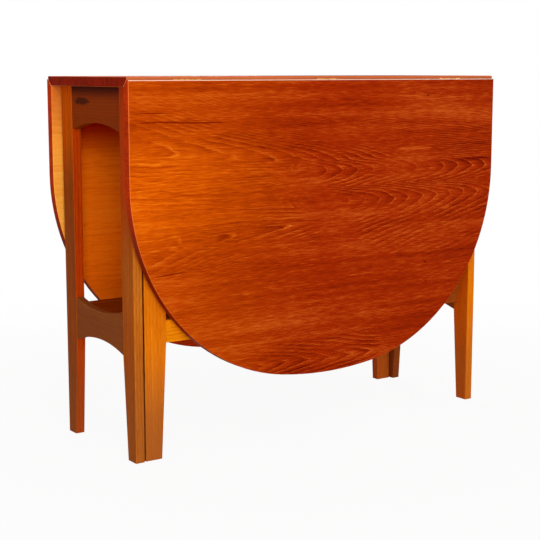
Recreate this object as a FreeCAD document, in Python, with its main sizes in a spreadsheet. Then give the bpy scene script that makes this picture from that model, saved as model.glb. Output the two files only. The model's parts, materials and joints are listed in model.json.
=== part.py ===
"""Drop-leaf gateleg table in teak, folded: a narrow fixed top on two end frames, two hanging
half-oval leaves on hinges, and two gates that fold flat along the long rails.

X runs along the table, Y across it and Z up. The origin is on the floor, under the middle of the top.
The rear half is built first, with its outward side at +Y. The front half is the same set of pieces
turned half a turn about Z, as on the real table, whose gate legs stand at opposite corners.
"""
import FreeCAD, Part
import math
import os
import Sketcher

doc = FreeCAD.newDocument("gateleg_table")
sizes = doc.addObject("Spreadsheet::Sheet", "sizes")

# Driving dimensions, in millimetres and counts.
DRIVING = {
    "table_height": 735,
    "top_length": 915,
    "top_width": 328,
    "board_thick": 19,
    # The joint between top and leaf: an upright band, then an undercut that leaves room for the hinge.
    "edge_band": 5.6,
    "undercut_run": 13.6,
    "leaf_gap": 0.6,
    "pin_depth": 6.1,
    # The half oval of a leaf: straight ends, corner arcs and one long arc, as shares of the top's length.
    "leaf_drop": 607,
    "leaf_arc_share": 0.847,
    "leaf_corner_share": 0.4415,
    "edge_ease": 1,
    "board_round": 2,
    # End frames.
    "end_overhang": 19,
    "side_overhang": 20.5,
    "leg_thick": 19,
    "leg_width": 45,
    "foot_width": 31,
    "rail_setback": 0.8,
    "end_rail_thick": 17,
    "upper_rail_depth": 86,
    "upper_arch_rise": 16,
    "lower_rail_top": 289.5,
    "lower_rail_bottom": 203,
    "lower_rail_sag": 14.5,
    "lower_arch_rise": 16.5,
    # Long rails between the end frames.
    "long_rail_thick": 15,
    "long_upper_depth": 64,
    "stretcher_top": 276,
    "stretcher_bottom": 223,
    # Gates.
    "gate_thick": 19,
    "gate_setback": 2,
    "gate_gap": 4,
    "gate_reach": 470,
    "gate_leg_width": 48,
    "gate_foot_width": 36,
    "gate_stile_width": 44,
    "gate_rail_bottom": 228.5,
    "gate_rail_depth": 44,
    "gate_top_play": 0.5,
    # Leaf hinges.
    "leaf_hinge_length": 60,
    "leaf_hinge_spread_share": 0.36,
    "leaf_plate_width": 14,
    "leaf_plate_thick": 1.4,
    "leaf_knuckle_radius": 1.7,
    "leaf_pin_radius": 0.8,
    # Gate hinges.
    "gate_hinge_length": 42,
    "gate_plate_width": 28,
    "gate_plate_thick": 2,
    "gate_knuckle_radius": 3,
    "gate_pin_radius": 1.5,
    "gate_knuckle_play": 1,
    # Screws and dowels.
    "screw_head_radius": 2.3,
    "screw_head_depth": 1.2,
    "screw_shank_radius": 1.2,
    "screw_length": 11,
    "dowel_radius": 4,
    "dowel_length": 32,
    "dowel_in_leg_face": 12,
    "dowel_in_leg_edge": 16,
    # Top fixing blocks and gate stops.
    "block_length_share": 0.3,
    "block_spread_share": 0.5,
    "block_side": 22,
    "block_screw_radius": 2,
    "block_screw_depth": 11,
    "stop_length": 40,
    "stop_width": 16,
    "stop_thick": 7,
    # Clearances.
    "fit_play": 0.05,
    "seat_play": 0.2,
    "overrun": 5,
}
LEAF_HINGE_SEGMENTS = 5
GATE_HINGE_SEGMENTS = 3
LEAF_SCREW_SHARES = (0.15, 0.5, 0.85)
LEAF_SCREW_ACROSS_SHARE = 0.62
GATE_SCREW_SHARES = (0.2, 0.8)
GATE_SCREW_ACROSS_SHARE = 0.6
STOP_SCREW_SHARES = (0.25, 0.75)
END_DOWEL_SHARES = (0.2, 0.85)
LONG_DOWEL_SHARES = (0.3, 0.6)
GATE_DOWEL_SHARES = (0.3, 0.7)

for row, (alias, value) in enumerate(DRIVING.items(), start=1):
    sizes.set(f"A{row}", alias)
    sizes.set(f"B{row}", str(value))
    sizes.setAlias(f"B{row}", alias)
doc.recompute()


def size(alias):
    return f"sizes.{alias}"


def value(expression):
    """A length in millimetres, worked out from an expression of the sheet's cells."""
    return float(sizes.evalExpression(expression))


# Planes and lines that several pieces share, as expressions of the sheet's cells.
TOP = size("table_height")
UNDERSIDE = "(sizes.table_height - sizes.board_thick)"
HALF_TOP = "(sizes.top_width / 2)"
HALF_LENGTH = "(sizes.top_length / 2)"
LEAF_ARC_RADIUS = "(sizes.leaf_arc_share * sizes.top_length)"
LEAF_CORNER_RADIUS = "(sizes.leaf_corner_share * sizes.top_length)"
LEAF_ARC_MIDDLE = f"(sizes.table_height - sizes.leaf_drop + {LEAF_ARC_RADIUS})"
LEAF_HINGE_SPREAD = "(sizes.leaf_hinge_spread_share * sizes.top_length)"
FRAME_END = f"({HALF_LENGTH} - sizes.end_overhang)"
LEG_INSIDE = f"({FRAME_END} - sizes.leg_thick)"
FRAME_SIDE = f"({HALF_TOP} - sizes.side_overhang)"
LEG_EDGE = f"({FRAME_SIDE} - sizes.leg_width)"
RAIL_FACE = f"({LEG_EDGE} + sizes.long_rail_thick)"
RISE = "(sizes.board_thick - sizes.edge_band)"
FACE_LENGTH = f"(sqrt(sizes.undercut_run^2 + {RISE}^2))"
RUN_SHARE = f"(sizes.undercut_run / {FACE_LENGTH})"
RISE_SHARE = f"({RISE} / {FACE_LENGTH})"
PIN_Y = f"({HALF_TOP} + sizes.leaf_gap / 2)"
PIN_Z = f"({TOP} - sizes.pin_depth)"
PIN_DROP = "(sizes.pin_depth - sizes.edge_band)"
PIN_ACROSS = f"({PIN_DROP} * {RISE_SHARE} - sizes.leaf_gap / 2 * {RUN_SHARE})"
LEAF_PLATE_START = f"({PIN_ACROSS} + sizes.leaf_knuckle_radius + 2 * sizes.seat_play)"
LEAF_OUTER = f"({PIN_Y} + sizes.pin_depth)"
LEAF_INNER = f"({LEAF_OUTER} - sizes.board_thick)"
LEAF_TOP = f"({PIN_Z} - sizes.leaf_gap / 2)"
GATE_OUTER = f"({FRAME_SIDE} - sizes.gate_setback)"
GATE_INNER = f"({GATE_OUTER} - sizes.gate_thick)"
GATE_TOP = f"({UNDERSIDE} - sizes.gate_top_play)"
GATE_END = f"({LEG_INSIDE} - sizes.gate_gap)"
STILE_END = f"({GATE_END} - sizes.gate_reach)"
GATE_PIVOT_X = f"({STILE_END} - sizes.gate_knuckle_radius - sizes.gate_knuckle_play)"
GATE_PIVOT_Y = f"(({RAIL_FACE} + {GATE_INNER}) / 2)"
END_RAIL_OUTER = f"({FRAME_END} - sizes.rail_setback)"
END_RAIL_INNER = f"({END_RAIL_OUTER} - sizes.end_rail_thick)"
CLEAR_WIDTH = f"(2 * {LEG_EDGE})"
BLOCK_LENGTH = f"(sizes.block_length_share * {CLEAR_WIDTH})"
BLOCK_SPREAD = f"(sizes.block_spread_share * {CLEAR_WIDTH})"

HALF_TURN = FreeCAD.Rotation(FreeCAD.Vector(0, 0, 1), 180)
ALONG_X = FreeCAD.Rotation(FreeCAD.Vector(0, 1, 0), 90)
ALONG_Y = FreeCAD.Rotation(FreeCAD.Vector(1, 0, 0), -90)
AGAINST_Y = FreeCAD.Rotation(FreeCAD.Vector(1, 0, 0), 90)
UPRIGHT = FreeCAD.Rotation()
FACE_RUN = value(size("undercut_run"))
FACE_RISE = value(RISE)
BOARD_FACE_TURN = FreeCAD.Rotation(FreeCAD.Vector(1, 0, 0), math.degrees(math.atan2(FACE_RISE, FACE_RUN)))
LEAF_FACE_TURN = FreeCAD.Rotation(FreeCAD.Vector(1, 0, 0), math.degrees(math.atan2(-FACE_RUN, -FACE_RISE)))

subparts = []


def bind(thing, **expressions):
    for name, expression in expressions.items():
        thing.setExpression(name, expression)
    return thing


def place(thing, x, y, z, turned=False, rotation=UPRIGHT):
    """Puts an object at a point of the rear half, or at its twin on the front half."""
    if turned:
        rotation = HALF_TURN.multiply(rotation)
        x, y = f"-({x})", f"-({y})"
    thing.Placement = FreeCAD.Placement(FreeCAD.Vector(0, 0, 0), rotation)
    for axis, expression in (("x", x), ("y", y), ("z", z)):
        thing.setExpression(f"Placement.Base.{axis}", str(expression))
    return thing


def box(x, y, z, turned=False, rotation=UPRIGHT):
    """A box between (low, high) pairs of expressions along each axis."""
    thing = doc.addObject("Part::Box", "box")
    spans = [f"({high}) - ({low})" for low, high in (x, y, z)]
    bind(thing, Length=spans[0], Width=spans[1], Height=spans[2])
    return place(thing, x[0], y[0], z[0], turned, rotation)


def rod(radius, length, x, y, z, rotation, turned=False):
    thing = doc.addObject("Part::Cylinder", "rod")
    bind(thing, Radius=radius, Height=length)
    return place(thing, x, y, z, turned, rotation)


def fuse(things):
    if len(things) == 1:
        return things[0]
    joined = doc.addObject("Part::MultiFuse", "joined")
    joined.Shapes = things
    return joined


def group(things):
    together = doc.addObject("Part::Compound", "together")
    together.Links = things
    return together


def cut(base, tools):
    less = doc.addObject("Part::Cut", "less")
    less.Base = base
    less.Tool = tools[0] if len(tools) == 1 else group(tools)
    return less


def keep(thing, label):
    """Marks an object as a finished sub-part under its own name."""
    thing.Label = label
    subparts.append(thing)
    return thing


def named(turned, name):
    return ("front_" if turned else "rear_") + name


def plane_of(body, role):
    return next(feature for feature in body.Origin.OriginFeatures if feature.Role == role)


def profile(name, plane, points, arcs, thick):
    """A body padded from a closed outline whose corners are (x, y) expressions.

    arcs maps the number of a side to its bow: how far its middle stands to the left of the straight line.
    """
    body = doc.addObject("PartDesign::Body", name)
    sketch = body.newObject("Sketcher::SketchObject", name + "_outline")
    sketch.AttachmentSupport = [(plane_of(body, plane), "")]
    sketch.MapMode = "FlatFace"
    corners = [FreeCAD.Vector(value(x), value(y), 0) for x, y in points]
    count = len(corners)
    for number, start in enumerate(corners):
        end = corners[(number + 1) % count]
        if number in arcs:
            across = end - start
            left = FreeCAD.Vector(-across.y, across.x, 0).normalize()
            middle = (start + end) / 2 + left * value(arcs[number])
            sketch.addGeometry(Part.Arc(start, middle, end), False)
        else:
            sketch.addGeometry(Part.LineSegment(start, end), False)

    def ends(number):
        """The point numbers of a side's start and end: an arc that bows to the left runs backwards."""
        if number in arcs and value(arcs[number]) > 0:
            return 2, 1
        return 1, 2

    for number in range(count):
        after = (number + 1) % count
        last, first = ends(number)[1], ends(after)[0]
        sketch.addConstraint(Sketcher.Constraint("Coincident", number, last, after, first))
    for number, (x, y) in enumerate(points):
        for kind, expression in (("DistanceX", x), ("DistanceY", y)):
            datum = value(expression)
            index = sketch.addConstraint(
                Sketcher.Constraint(kind, -1, 1, number, ends(number)[0], datum)
            )
            sketch.setExpression(f"Constraints[{index}]", str(expression))
    for number, bow in arcs.items():
        (x0, y0), (x1, y1) = points[number], points[(number + 1) % count]
        chord = f"(sqrt((({x1}) - ({x0}))^2 + (({y1}) - ({y0}))^2))"
        radius = f"(({chord}^2 / 4 + ({bow})^2) / (2 * abs({bow})))"
        index = sketch.addConstraint(Sketcher.Constraint("Radius", number, value(radius)))
        sketch.setExpression(f"Constraints[{index}]", radius)
    pad = body.newObject("PartDesign::Pad", name + "_pad")
    pad.Profile = sketch
    bind(pad, Length=thick)
    body.Tip = pad
    return body


def ease_edges(body, chosen, kind="Fillet", amount="Radius", ease="edge_ease"):
    """Eases the edges of a body that the test picks, to the arris of a hand-sanded piece."""
    doc.recompute()
    base = body.Tip
    edges = [f"Edge{n}" for n, edge in enumerate(base.Shape.Edges, start=1) if chosen(edge)]
    eased = body.newObject("PartDesign::" + kind, body.Name + "_ease")
    eased.Base = (base, edges)
    eased.setExpression(amount, size(ease))
    body.Tip = eased
    return body


def runs_along(axis):
    """A test for edges that are not square to an axis, in the body's own frame."""
    def test(edge):
        span = edge.BoundBox
        lengths = (span.XLength, span.YLength, span.ZLength)
        return lengths[axis] > value(size("leg_thick"))
    return test


def plank(name, x, y, z, upright, turned):
    """A board with its long edges eased, between (low, high) pairs of expressions.

    It runs along X, or up Z if it is upright.
    """
    across = x if upright else y
    points = [(across[0], z[0]), (across[1], z[0]), (across[1], z[1]), (across[0], z[1])]
    if upright:
        body = profile(name, "XZ_Plane", points, {}, f"({y[1]}) - ({y[0]})")
        return place(ease_edges(body, runs_along(2)), "0", y[1], "0", turned)
    body = profile(name, "YZ_Plane", points, {}, f"({x[1]}) - ({x[0]})")
    return place(ease_edges(body, runs_along(0)), x[0], "0", "0", turned)


# Screws: a countersunk head flush with the face it holds down, and its shank behind.

def screw_site(x, y, z, rotation, turned):
    return {"x": x, "y": y, "z": z, "rotation": rotation, "turned": turned}


def screw(site):
    """A screw that starts at the site, on the outer face, and goes in along the site's Z."""
    head = doc.addObject("Part::Cone", "head")
    bind(
        head,
        Radius1=size("screw_head_radius"),
        Radius2=size("screw_shank_radius"),
        Height=size("screw_head_depth"),
    )
    place(head, site["x"], site["y"], site["z"], site["turned"], site["rotation"])
    shank = rod(size("screw_shank_radius"), size("screw_length"), **site)
    return fuse([head, shank])


def screw_hole(site):
    """The countersunk hole for a screw, with its play all round."""
    mouth = doc.addObject("Part::Cone", "mouth")
    bind(
        mouth,
        Radius1="sizes.screw_head_radius + sizes.fit_play",
        Radius2="sizes.screw_shank_radius + sizes.fit_play",
        Height=size("screw_head_depth"),
    )
    place(mouth, site["x"], site["y"], site["z"], site["turned"], site["rotation"])
    bore = rod("sizes.screw_shank_radius + sizes.fit_play", "sizes.screw_length + sizes.fit_play", **site)
    return fuse([mouth, bore])


# Dowels: a loose set of pegs, and the holes that fit them in both pieces of a joint.

def dowel(site, play="0"):
    return rod(f"sizes.dowel_radius + {play}", size("dowel_length"), **site)


def dowel_hole(site):
    return dowel(site, size("fit_play"))


# Leaf hinges: three butt hinges a side, let into the undercut faces of top and leaf.

def leaf_hinge_middles():
    return f"-{LEAF_HINGE_SPREAD}", "0", LEAF_HINGE_SPREAD


def face_point(leaf, across, into):
    """Y and Z of a point on an undercut face: across it from its upper edge, and into the wood."""
    if leaf:
        y = f"{PIN_Y} + {PIN_DROP} - ({across}) * {RISE_SHARE} + ({into}) * {RUN_SHARE}"
        z = f"{PIN_Z} - sizes.leaf_gap / 2 - ({across}) * {RUN_SHARE} - ({into}) * {RISE_SHARE}"
    else:
        y = f"{HALF_TOP} - ({across}) * {RUN_SHARE} - ({into}) * {RISE_SHARE}"
        z = f"{TOP} - sizes.edge_band - ({across}) * {RISE_SHARE} + ({into}) * {RUN_SHARE}"
    return y, z


def face_box(leaf, x, across, into, turned):
    """A box on an undercut face, from its spans along the hinge, across the face and into the wood."""
    thing = doc.addObject("Part::Box", "face_box")
    spans = [f"({high}) - ({low})" for low, high in (x, across, into)]
    bind(thing, Length=spans[0], Width=spans[1], Height=spans[2])
    y, z = face_point(leaf, across[0] if leaf else across[1], into[0])
    return place(thing, x[0], y, z, turned, LEAF_FACE_TURN if leaf else BOARD_FACE_TURN)


def leaf_segment(middle, number):
    """The span of one knuckle along the hinge, with the play between knuckles taken off."""
    step = f"(sizes.leaf_hinge_length / {LEAF_HINGE_SEGMENTS})"
    low = f"{middle} - sizes.leaf_hinge_length / 2 + {number} * {step} + sizes.fit_play"
    return low, f"{low} + {step} - 2 * sizes.fit_play"


def leaf_hinge_screws(leaf, middle, turned):
    sites = []
    across = f"{LEAF_PLATE_START} + {LEAF_SCREW_ACROSS_SHARE} * sizes.leaf_plate_width"
    y, z = face_point(leaf, across, "0")
    rotation = LEAF_FACE_TURN if leaf else BOARD_FACE_TURN
    for share in LEAF_SCREW_SHARES:
        x = f"{middle} + ({share} - 0.5) * sizes.leaf_hinge_length"
        sites.append(screw_site(x, y, z, rotation, turned))
    return sites


def leaf_hinge_rod(radius, middle, extra, turned):
    """A rod on the hinge line, a little longer than the hinge at each end."""
    low = f"{middle} - sizes.leaf_hinge_length / 2 - {extra}"
    return rod(radius, f"sizes.leaf_hinge_length + 2 * {extra}", low, PIN_Y, PIN_Z, ALONG_X, turned)


def leaf_hinge_span(middle, extra):
    half = f"sizes.leaf_hinge_length / 2 + {extra}"
    return f"{middle} - ({half})", f"{middle} + {half}"


def leaf_hinge_seats(leaf, middle, turned):
    """The shallow seat of a plate, and the groove that the knuckles turn in."""
    play = size("seat_play")
    across = ("0", f"{LEAF_PLATE_START} + sizes.leaf_plate_width + {play}")
    into = ("-sizes.overrun", size("leaf_plate_thick"))
    seat = face_box(leaf, leaf_hinge_span(middle, play), across, into, turned)
    return [seat, leaf_hinge_rod(f"sizes.leaf_knuckle_radius + {play}", middle, play, turned)]


def leaf_hinge_plate(leaf, middle, turned):
    across = (LEAF_PLATE_START, f"{LEAF_PLATE_START} + sizes.leaf_plate_width")
    into = ("0", size("leaf_plate_thick"))
    pieces = [face_box(leaf, leaf_hinge_span(middle, "0"), across, into, turned)]
    web = (PIN_ACROSS, f"{LEAF_PLATE_START} + sizes.leaf_plate_thick")
    for number in range(1 if leaf else 0, LEAF_HINGE_SEGMENTS, 2):
        low, high = leaf_segment(middle, number)
        pieces.append(face_box(leaf, (low, high), web, into, turned))
        pieces.append(
            rod(size("leaf_knuckle_radius"), f"({high}) - ({low})", low, PIN_Y, PIN_Z, ALONG_X, turned)
        )
    bore = leaf_hinge_rod("sizes.leaf_pin_radius + sizes.fit_play", middle, size("overrun"), turned)
    holes = [screw_hole(site) for site in leaf_hinge_screws(leaf, middle, turned)]
    return cut(fuse(pieces), [bore] + holes)


def leaf_hinge_pin(middle, turned):
    return leaf_hinge_rod(size("leaf_pin_radius"), middle, "0", turned)


def make_leaf_hinges(turned):
    for leaf, owner in ((False, "board"), (True, "leaf")):
        plates = [leaf_hinge_plate(leaf, middle, turned) for middle in leaf_hinge_middles()]
        keep(group(plates), named(turned, f"{owner}_hinge_plates"))
        sites = [s for middle in leaf_hinge_middles() for s in leaf_hinge_screws(leaf, middle, turned)]
        keep(group([screw(site) for site in sites]), named(turned, f"{owner}_hinge_screws"))
    pins = [leaf_hinge_pin(middle, turned) for middle in leaf_hinge_middles()]
    keep(group(pins), named(turned, "leaf_hinge_pins"))


def leaf_hinge_cuts(leaf, turned):
    cuts = []
    for middle in leaf_hinge_middles():
        cuts.extend(leaf_hinge_seats(leaf, middle, turned))
        cuts.extend(screw_hole(site) for site in leaf_hinge_screws(leaf, middle, turned))
    return cuts


# Gate stops: a small block under each leaf that halts the opened gate.

STOP_X = f"({GATE_PIVOT_X} - sizes.gate_thick - sizes.stop_width - 2 * sizes.gate_knuckle_radius)"
STOP_LOW = f"({TOP} - sizes.gate_reach + sizes.gate_leg_width)"


def stop_screws(turned):
    x = f"{STOP_X} + sizes.stop_width / 2"
    heights = [f"{STOP_LOW} + {share} * sizes.stop_length" for share in STOP_SCREW_SHARES]
    face = f"{LEAF_INNER} - sizes.stop_thick"
    return [screw_site(x, face, height, ALONG_Y, turned) for height in heights]


def make_gate_stop(turned):
    block = box(
        (STOP_X, f"{STOP_X} + sizes.stop_width"),
        (f"{LEAF_INNER} - sizes.stop_thick", LEAF_INNER),
        (STOP_LOW, f"{STOP_LOW} + sizes.stop_length"),
        turned,
    )
    keep(cut(block, [screw_hole(site) for site in stop_screws(turned)]), named(turned, "gate_stop"))
    screws = [screw(site) for site in stop_screws(turned)]
    keep(group(screws), named(turned, "gate_stop_screws"))


# Leaf: a half oval, hanging, with its upper edge cut to the band and the undercut.

def make_leaf(turned):
    name = named(turned, "leaf")
    body = doc.addObject("PartDesign::Body", name + "_board")
    sketch = body.newObject("Sketcher::SketchObject", name + "_outline")
    sketch.AttachmentSupport = [(plane_of(body, "XZ_Plane"), "")]
    sketch.MapMode = "FlatFace"
    half = value(HALF_LENGTH)
    top = value(LEAF_TOP)
    arc_radius = value(LEAF_ARC_RADIUS)
    corner_radius = value(LEAF_CORNER_RADIUS)
    arc_middle = value(LEAF_ARC_MIDDLE)
    corner_x = half - corner_radius
    corner_z = arc_middle - math.sqrt((arc_radius - corner_radius) ** 2 - corner_x**2)
    lean = math.atan2(corner_z - arc_middle, corner_x)
    up = FreeCAD.Vector(0, 0, 1)
    long_arc = Part.Circle(FreeCAD.Vector(0, arc_middle, 0), up, arc_radius)
    right_corner = Part.Circle(FreeCAD.Vector(corner_x, corner_z, 0), up, corner_radius)
    left_corner = Part.Circle(FreeCAD.Vector(-corner_x, corner_z, 0), up, corner_radius)
    left_low = FreeCAD.Vector(-half, corner_z, 0)
    left_high = FreeCAD.Vector(-half, top, 0)
    right_low = FreeCAD.Vector(half, corner_z, 0)
    right_high = FreeCAD.Vector(half, top, 0)
    sketch.addGeometry(Part.LineSegment(left_high, left_low), False)
    sketch.addGeometry(Part.ArcOfCircle(left_corner, math.pi, math.pi - lean), False)
    sketch.addGeometry(Part.ArcOfCircle(long_arc, math.pi - lean, 2 * math.pi + lean), False)
    sketch.addGeometry(Part.ArcOfCircle(right_corner, lean, 0), False)
    sketch.addGeometry(Part.LineSegment(right_low, right_high), False)
    sketch.addGeometry(Part.LineSegment(right_high, left_high), False)
    for before, after in ((0, 1), (1, 2), (2, 3), (3, 4)):
        sketch.addConstraint(Sketcher.Constraint("Tangent", before, 2, after, 1))
    sketch.addConstraint(Sketcher.Constraint("Coincident", 4, 2, 5, 1))
    sketch.addConstraint(Sketcher.Constraint("Coincident", 5, 2, 0, 1))
    sketch.addConstraint(Sketcher.Constraint("Vertical", 0))
    sketch.addConstraint(Sketcher.Constraint("Vertical", 4))
    sketch.addConstraint(Sketcher.Constraint("Horizontal", 5))
    sketch.addConstraint(Sketcher.Constraint("PointOnObject", 2, 3, -2))
    drives = (
        (Sketcher.Constraint("Radius", 1, corner_radius), LEAF_CORNER_RADIUS),
        (Sketcher.Constraint("Radius", 3, corner_radius), LEAF_CORNER_RADIUS),
        (Sketcher.Constraint("Radius", 2, arc_radius), LEAF_ARC_RADIUS),
        (Sketcher.Constraint("DistanceX", -1, 1, 5, 1, half), HALF_LENGTH),
        (Sketcher.Constraint("DistanceX", 5, 2, -1, 1, half), HALF_LENGTH),
        (Sketcher.Constraint("DistanceY", -1, 1, 5, 1, top), LEAF_TOP),
        (Sketcher.Constraint("DistanceY", -1, 1, 2, 3, arc_middle), LEAF_ARC_MIDDLE),
    )
    for constraint, expression in drives:
        index = sketch.addConstraint(constraint)
        sketch.setExpression(f"Constraints[{index}]", expression)
    pad = body.newObject("PartDesign::Pad", name + "_pad")
    pad.Profile = sketch
    bind(pad, Length=size("board_thick"))
    body.Tip = pad
    # All arrises of the show face and the rim, but not the inner edge that the undercut takes away.
    ease_edges(
        body,
        lambda edge: is_arris(edge) and not (at_height(edge, top) and is_inner(edge)),
        ease="board_round",
    )
    place(body, "0", LEAF_OUTER, "0", turned)
    undercut = face_box(
        True,
        (f"-{HALF_LENGTH} - sizes.overrun", f"{HALF_LENGTH} + sizes.overrun"),
        ("0", f"{FACE_LENGTH} + sizes.overrun"),
        (f"-{FACE_LENGTH}", "0"),
        turned,
    )
    cuts = leaf_hinge_cuts(True, turned) + [screw_hole(site) for site in stop_screws(turned)]
    keep(cut(body, [undercut] + cuts), name)


def is_arris(edge):
    return edge.BoundBox.YLength < value(size("fit_play"))


def is_inner(edge):
    return edge.BoundBox.YMax < -value(size("fit_play"))


def at_height(edge, height):
    span = edge.BoundBox
    return span.ZLength < value(size("fit_play")) and abs(span.ZMin - height) < value(size("seat_play"))


# Top board: its long edges have the upright band and the undercut, its ends are square and eased.

def make_top_board():
    low = f"({HALF_TOP} - sizes.undercut_run)"
    band = f"({TOP} - sizes.edge_band)"
    points = [
        (f"-{low}", UNDERSIDE),
        (low, UNDERSIDE),
        (HALF_TOP, band),
        (HALF_TOP, TOP),
        (f"-{HALF_TOP}", TOP),
        (f"-{HALF_TOP}", band),
    ]
    body = profile("top_board_blank", "YZ_Plane", points, {}, size("top_length"))
    ease_edges(
        body,
        lambda edge: is_level(edge) and (at_end(edge) or at_height(edge, value(TOP))),
        ease="board_round",
    )
    place(body, f"-{HALF_LENGTH}", "0", "0")
    cuts = leaf_hinge_cuts(False, False) + leaf_hinge_cuts(False, True)
    upright = [s for s in block_screw_sites() if s["rotation"] is UPRIGHT]
    cuts += [block_screw(site, size("fit_play")) for site in upright]
    keep(cut(body, cuts), "top_board")


def at_end(edge):
    return edge.BoundBox.XLength < value(size("fit_play"))


def is_level(edge):
    return edge.BoundBox.ZLength < value(size("fit_play"))


# End frames: two legs, an arched upper rail and an hourglass lower rail.

def rail_dowel_sites(low, high, turned):
    """Dowels of an end rail, along Y, at both its ends."""
    sites = []
    for share in END_DOWEL_SHARES:
        z = f"({low}) + {share} * (({high}) - ({low}))"
        for start in (
            f"{LEG_EDGE} - sizes.dowel_length + sizes.dowel_in_leg_edge",
            f"-{LEG_EDGE} - sizes.dowel_in_leg_edge",
        ):
            sites.append({"x": END_RAIL_MIDDLE, "y": start, "z": z, "rotation": ALONG_Y, "turned": turned})
    return sites


END_RAILS = {
    "upper_rail": (f"({UNDERSIDE} - sizes.upper_rail_depth)", UNDERSIDE),
    "lower_rail": (size("lower_rail_bottom"), size("lower_rail_top")),
}
END_RAIL_MIDDLE = f"({END_RAIL_OUTER} - sizes.end_rail_thick / 2)"
LONG_RAILS = {
    "upper_rail": (f"({UNDERSIDE} - sizes.long_upper_depth)", UNDERSIDE),
    "stretcher": (size("stretcher_bottom"), size("stretcher_top")),
}
LONG_RAIL_MIDDLE = f"({LEG_EDGE} + sizes.long_rail_thick / 2)"


def long_dowel_sites(low, high, turned):
    """Dowels of a long rail, along X, at both its ends. They lie between the end rail's own dowels."""
    sites = []
    for share in LONG_DOWEL_SHARES:
        z = f"({low}) + {share} * (({high}) - ({low}))"
        for start in (
            f"{LEG_INSIDE} + sizes.dowel_in_leg_face - sizes.dowel_length",
            f"-{LEG_INSIDE} - sizes.dowel_in_leg_face",
        ):
            sites.append({"x": start, "y": LONG_RAIL_MIDDLE, "z": z, "rotation": ALONG_X, "turned": turned})
    return sites


def end_dowels(turned):
    return [s for low, high in END_RAILS.values() for s in rail_dowel_sites(low, high, turned)]


def long_dowels(turned):
    return [s for low, high in LONG_RAILS.values() for s in long_dowel_sites(low, high, turned)]


def leg_blank(name, width, foot, thick, top, taper_from):
    """A leg seen from its broad side: straight above, tapered on its inner edge below."""
    points = [
        ("0", "0"),
        (f"-({foot})", "0"),
        (f"-({width})", taper_from),
        (f"-({width})", top),
        ("0", top),
    ]
    body = profile(name, "XZ_Plane", points, {}, thick)
    return ease_edges(body, lambda edge: edge.BoundBox.ZLength > value(size("leg_thick")))


def make_leg(right, rear):
    name = ("right" if right else "left") + ("_rear" if rear else "_front") + "_leg"
    blank = leg_blank(
        name + "_blank",
        size("leg_width"),
        size("foot_width"),
        size("leg_thick"),
        UNDERSIDE,
        size("lower_rail_bottom"),
    )
    # The blank lies along X with its outer edge at 0 and its thickness towards -Y. Turned a quarter
    # about Z, its broad side faces the table's end.
    quarter = FreeCAD.Rotation(FreeCAD.Vector(0, 0, 1), 90 if rear else -90)
    start_x = {
        (True, True): LEG_INSIDE,
        (False, True): f"-{FRAME_END}",
        (True, False): FRAME_END,
        (False, False): f"-{LEG_INSIDE}",
    }[right, rear]
    place(blank, start_x, FRAME_SIDE if rear else f"-{FRAME_SIDE}", "0", False, quarter)
    sites = end_dowels(False) + end_dowels(True) + long_dowels(False) + long_dowels(True)
    keep(cut(blank, [dowel_hole(site) for site in sites]), name)


def make_end_rails(turned):
    side = "left_" if turned else "right_"
    for kind, (low, high) in END_RAILS.items():
        points = [(f"-{LEG_EDGE}", low), (LEG_EDGE, low), (LEG_EDGE, high), (f"-{LEG_EDGE}", high)]
        if kind == "upper_rail":
            bows = {0: size("upper_arch_rise")}
        else:
            bows = {0: size("lower_arch_rise"), 2: size("lower_rail_sag")}
        body = profile(side + kind + "_blank", "YZ_Plane", points, bows, size("end_rail_thick"))
        ease_edges(body, runs_along(1), "Chamfer", "Size")
        place(body, END_RAIL_INNER, "0", "0", turned)
        holes = [dowel_hole(site) for site in rail_dowel_sites(low, high, turned)]
        if kind == "upper_rail":
            level = [s for s in block_screw_sites() if s["rotation"] is not UPRIGHT]
            holes += [block_screw(site, size("fit_play")) for site in level]
        keep(cut(body, holes), side + kind)


# Long rails: plain boards between the end frames, set in from the legs' outer faces by the gates' room.

def make_long_rails(turned):
    for kind, (low, high) in LONG_RAILS.items():
        name = named(turned, kind)
        span = (f"-{LEG_INSIDE}", LEG_INSIDE)
        blank = plank(name + "_blank", span, (LEG_EDGE, RAIL_FACE), (low, high), False, turned)
        holes = [dowel_hole(site) for site in long_dowel_sites(low, high, turned)]
        holes += [screw_hole(site) for site in gate_screws(False, turned)]
        keep(cut(blank, holes), name)


# Gates: a leg, two rails and a hinge stile, hung on two butt hinges.

GATE_RAIL_TOP = "(sizes.gate_rail_bottom + sizes.gate_rail_depth)"
GATE_RAILS = {
    "gate_upper_rail": (f"({GATE_TOP} - sizes.gate_rail_depth)", GATE_TOP),
    "gate_lower_rail": (size("gate_rail_bottom"), GATE_RAIL_TOP),
}
GATE_RAIL_LOW = f"({STILE_END} + sizes.gate_stile_width)"
GATE_RAIL_HIGH = f"({GATE_END} - sizes.gate_leg_width)"
GATE_MIDDLE = f"(({GATE_INNER} + {GATE_OUTER}) / 2)"


def gate_dowel_sites(turned):
    sites = []
    half = "sizes.dowel_length / 2"
    for low, high in GATE_RAILS.values():
        for share in GATE_DOWEL_SHARES:
            z = f"({low}) + {share} * (({high}) - ({low}))"
            for joint in (GATE_RAIL_LOW, GATE_RAIL_HIGH):
                x = f"{joint} - {half}"
                sites.append({"x": x, "y": GATE_MIDDLE, "z": z, "rotation": ALONG_X, "turned": turned})
    return sites


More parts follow.
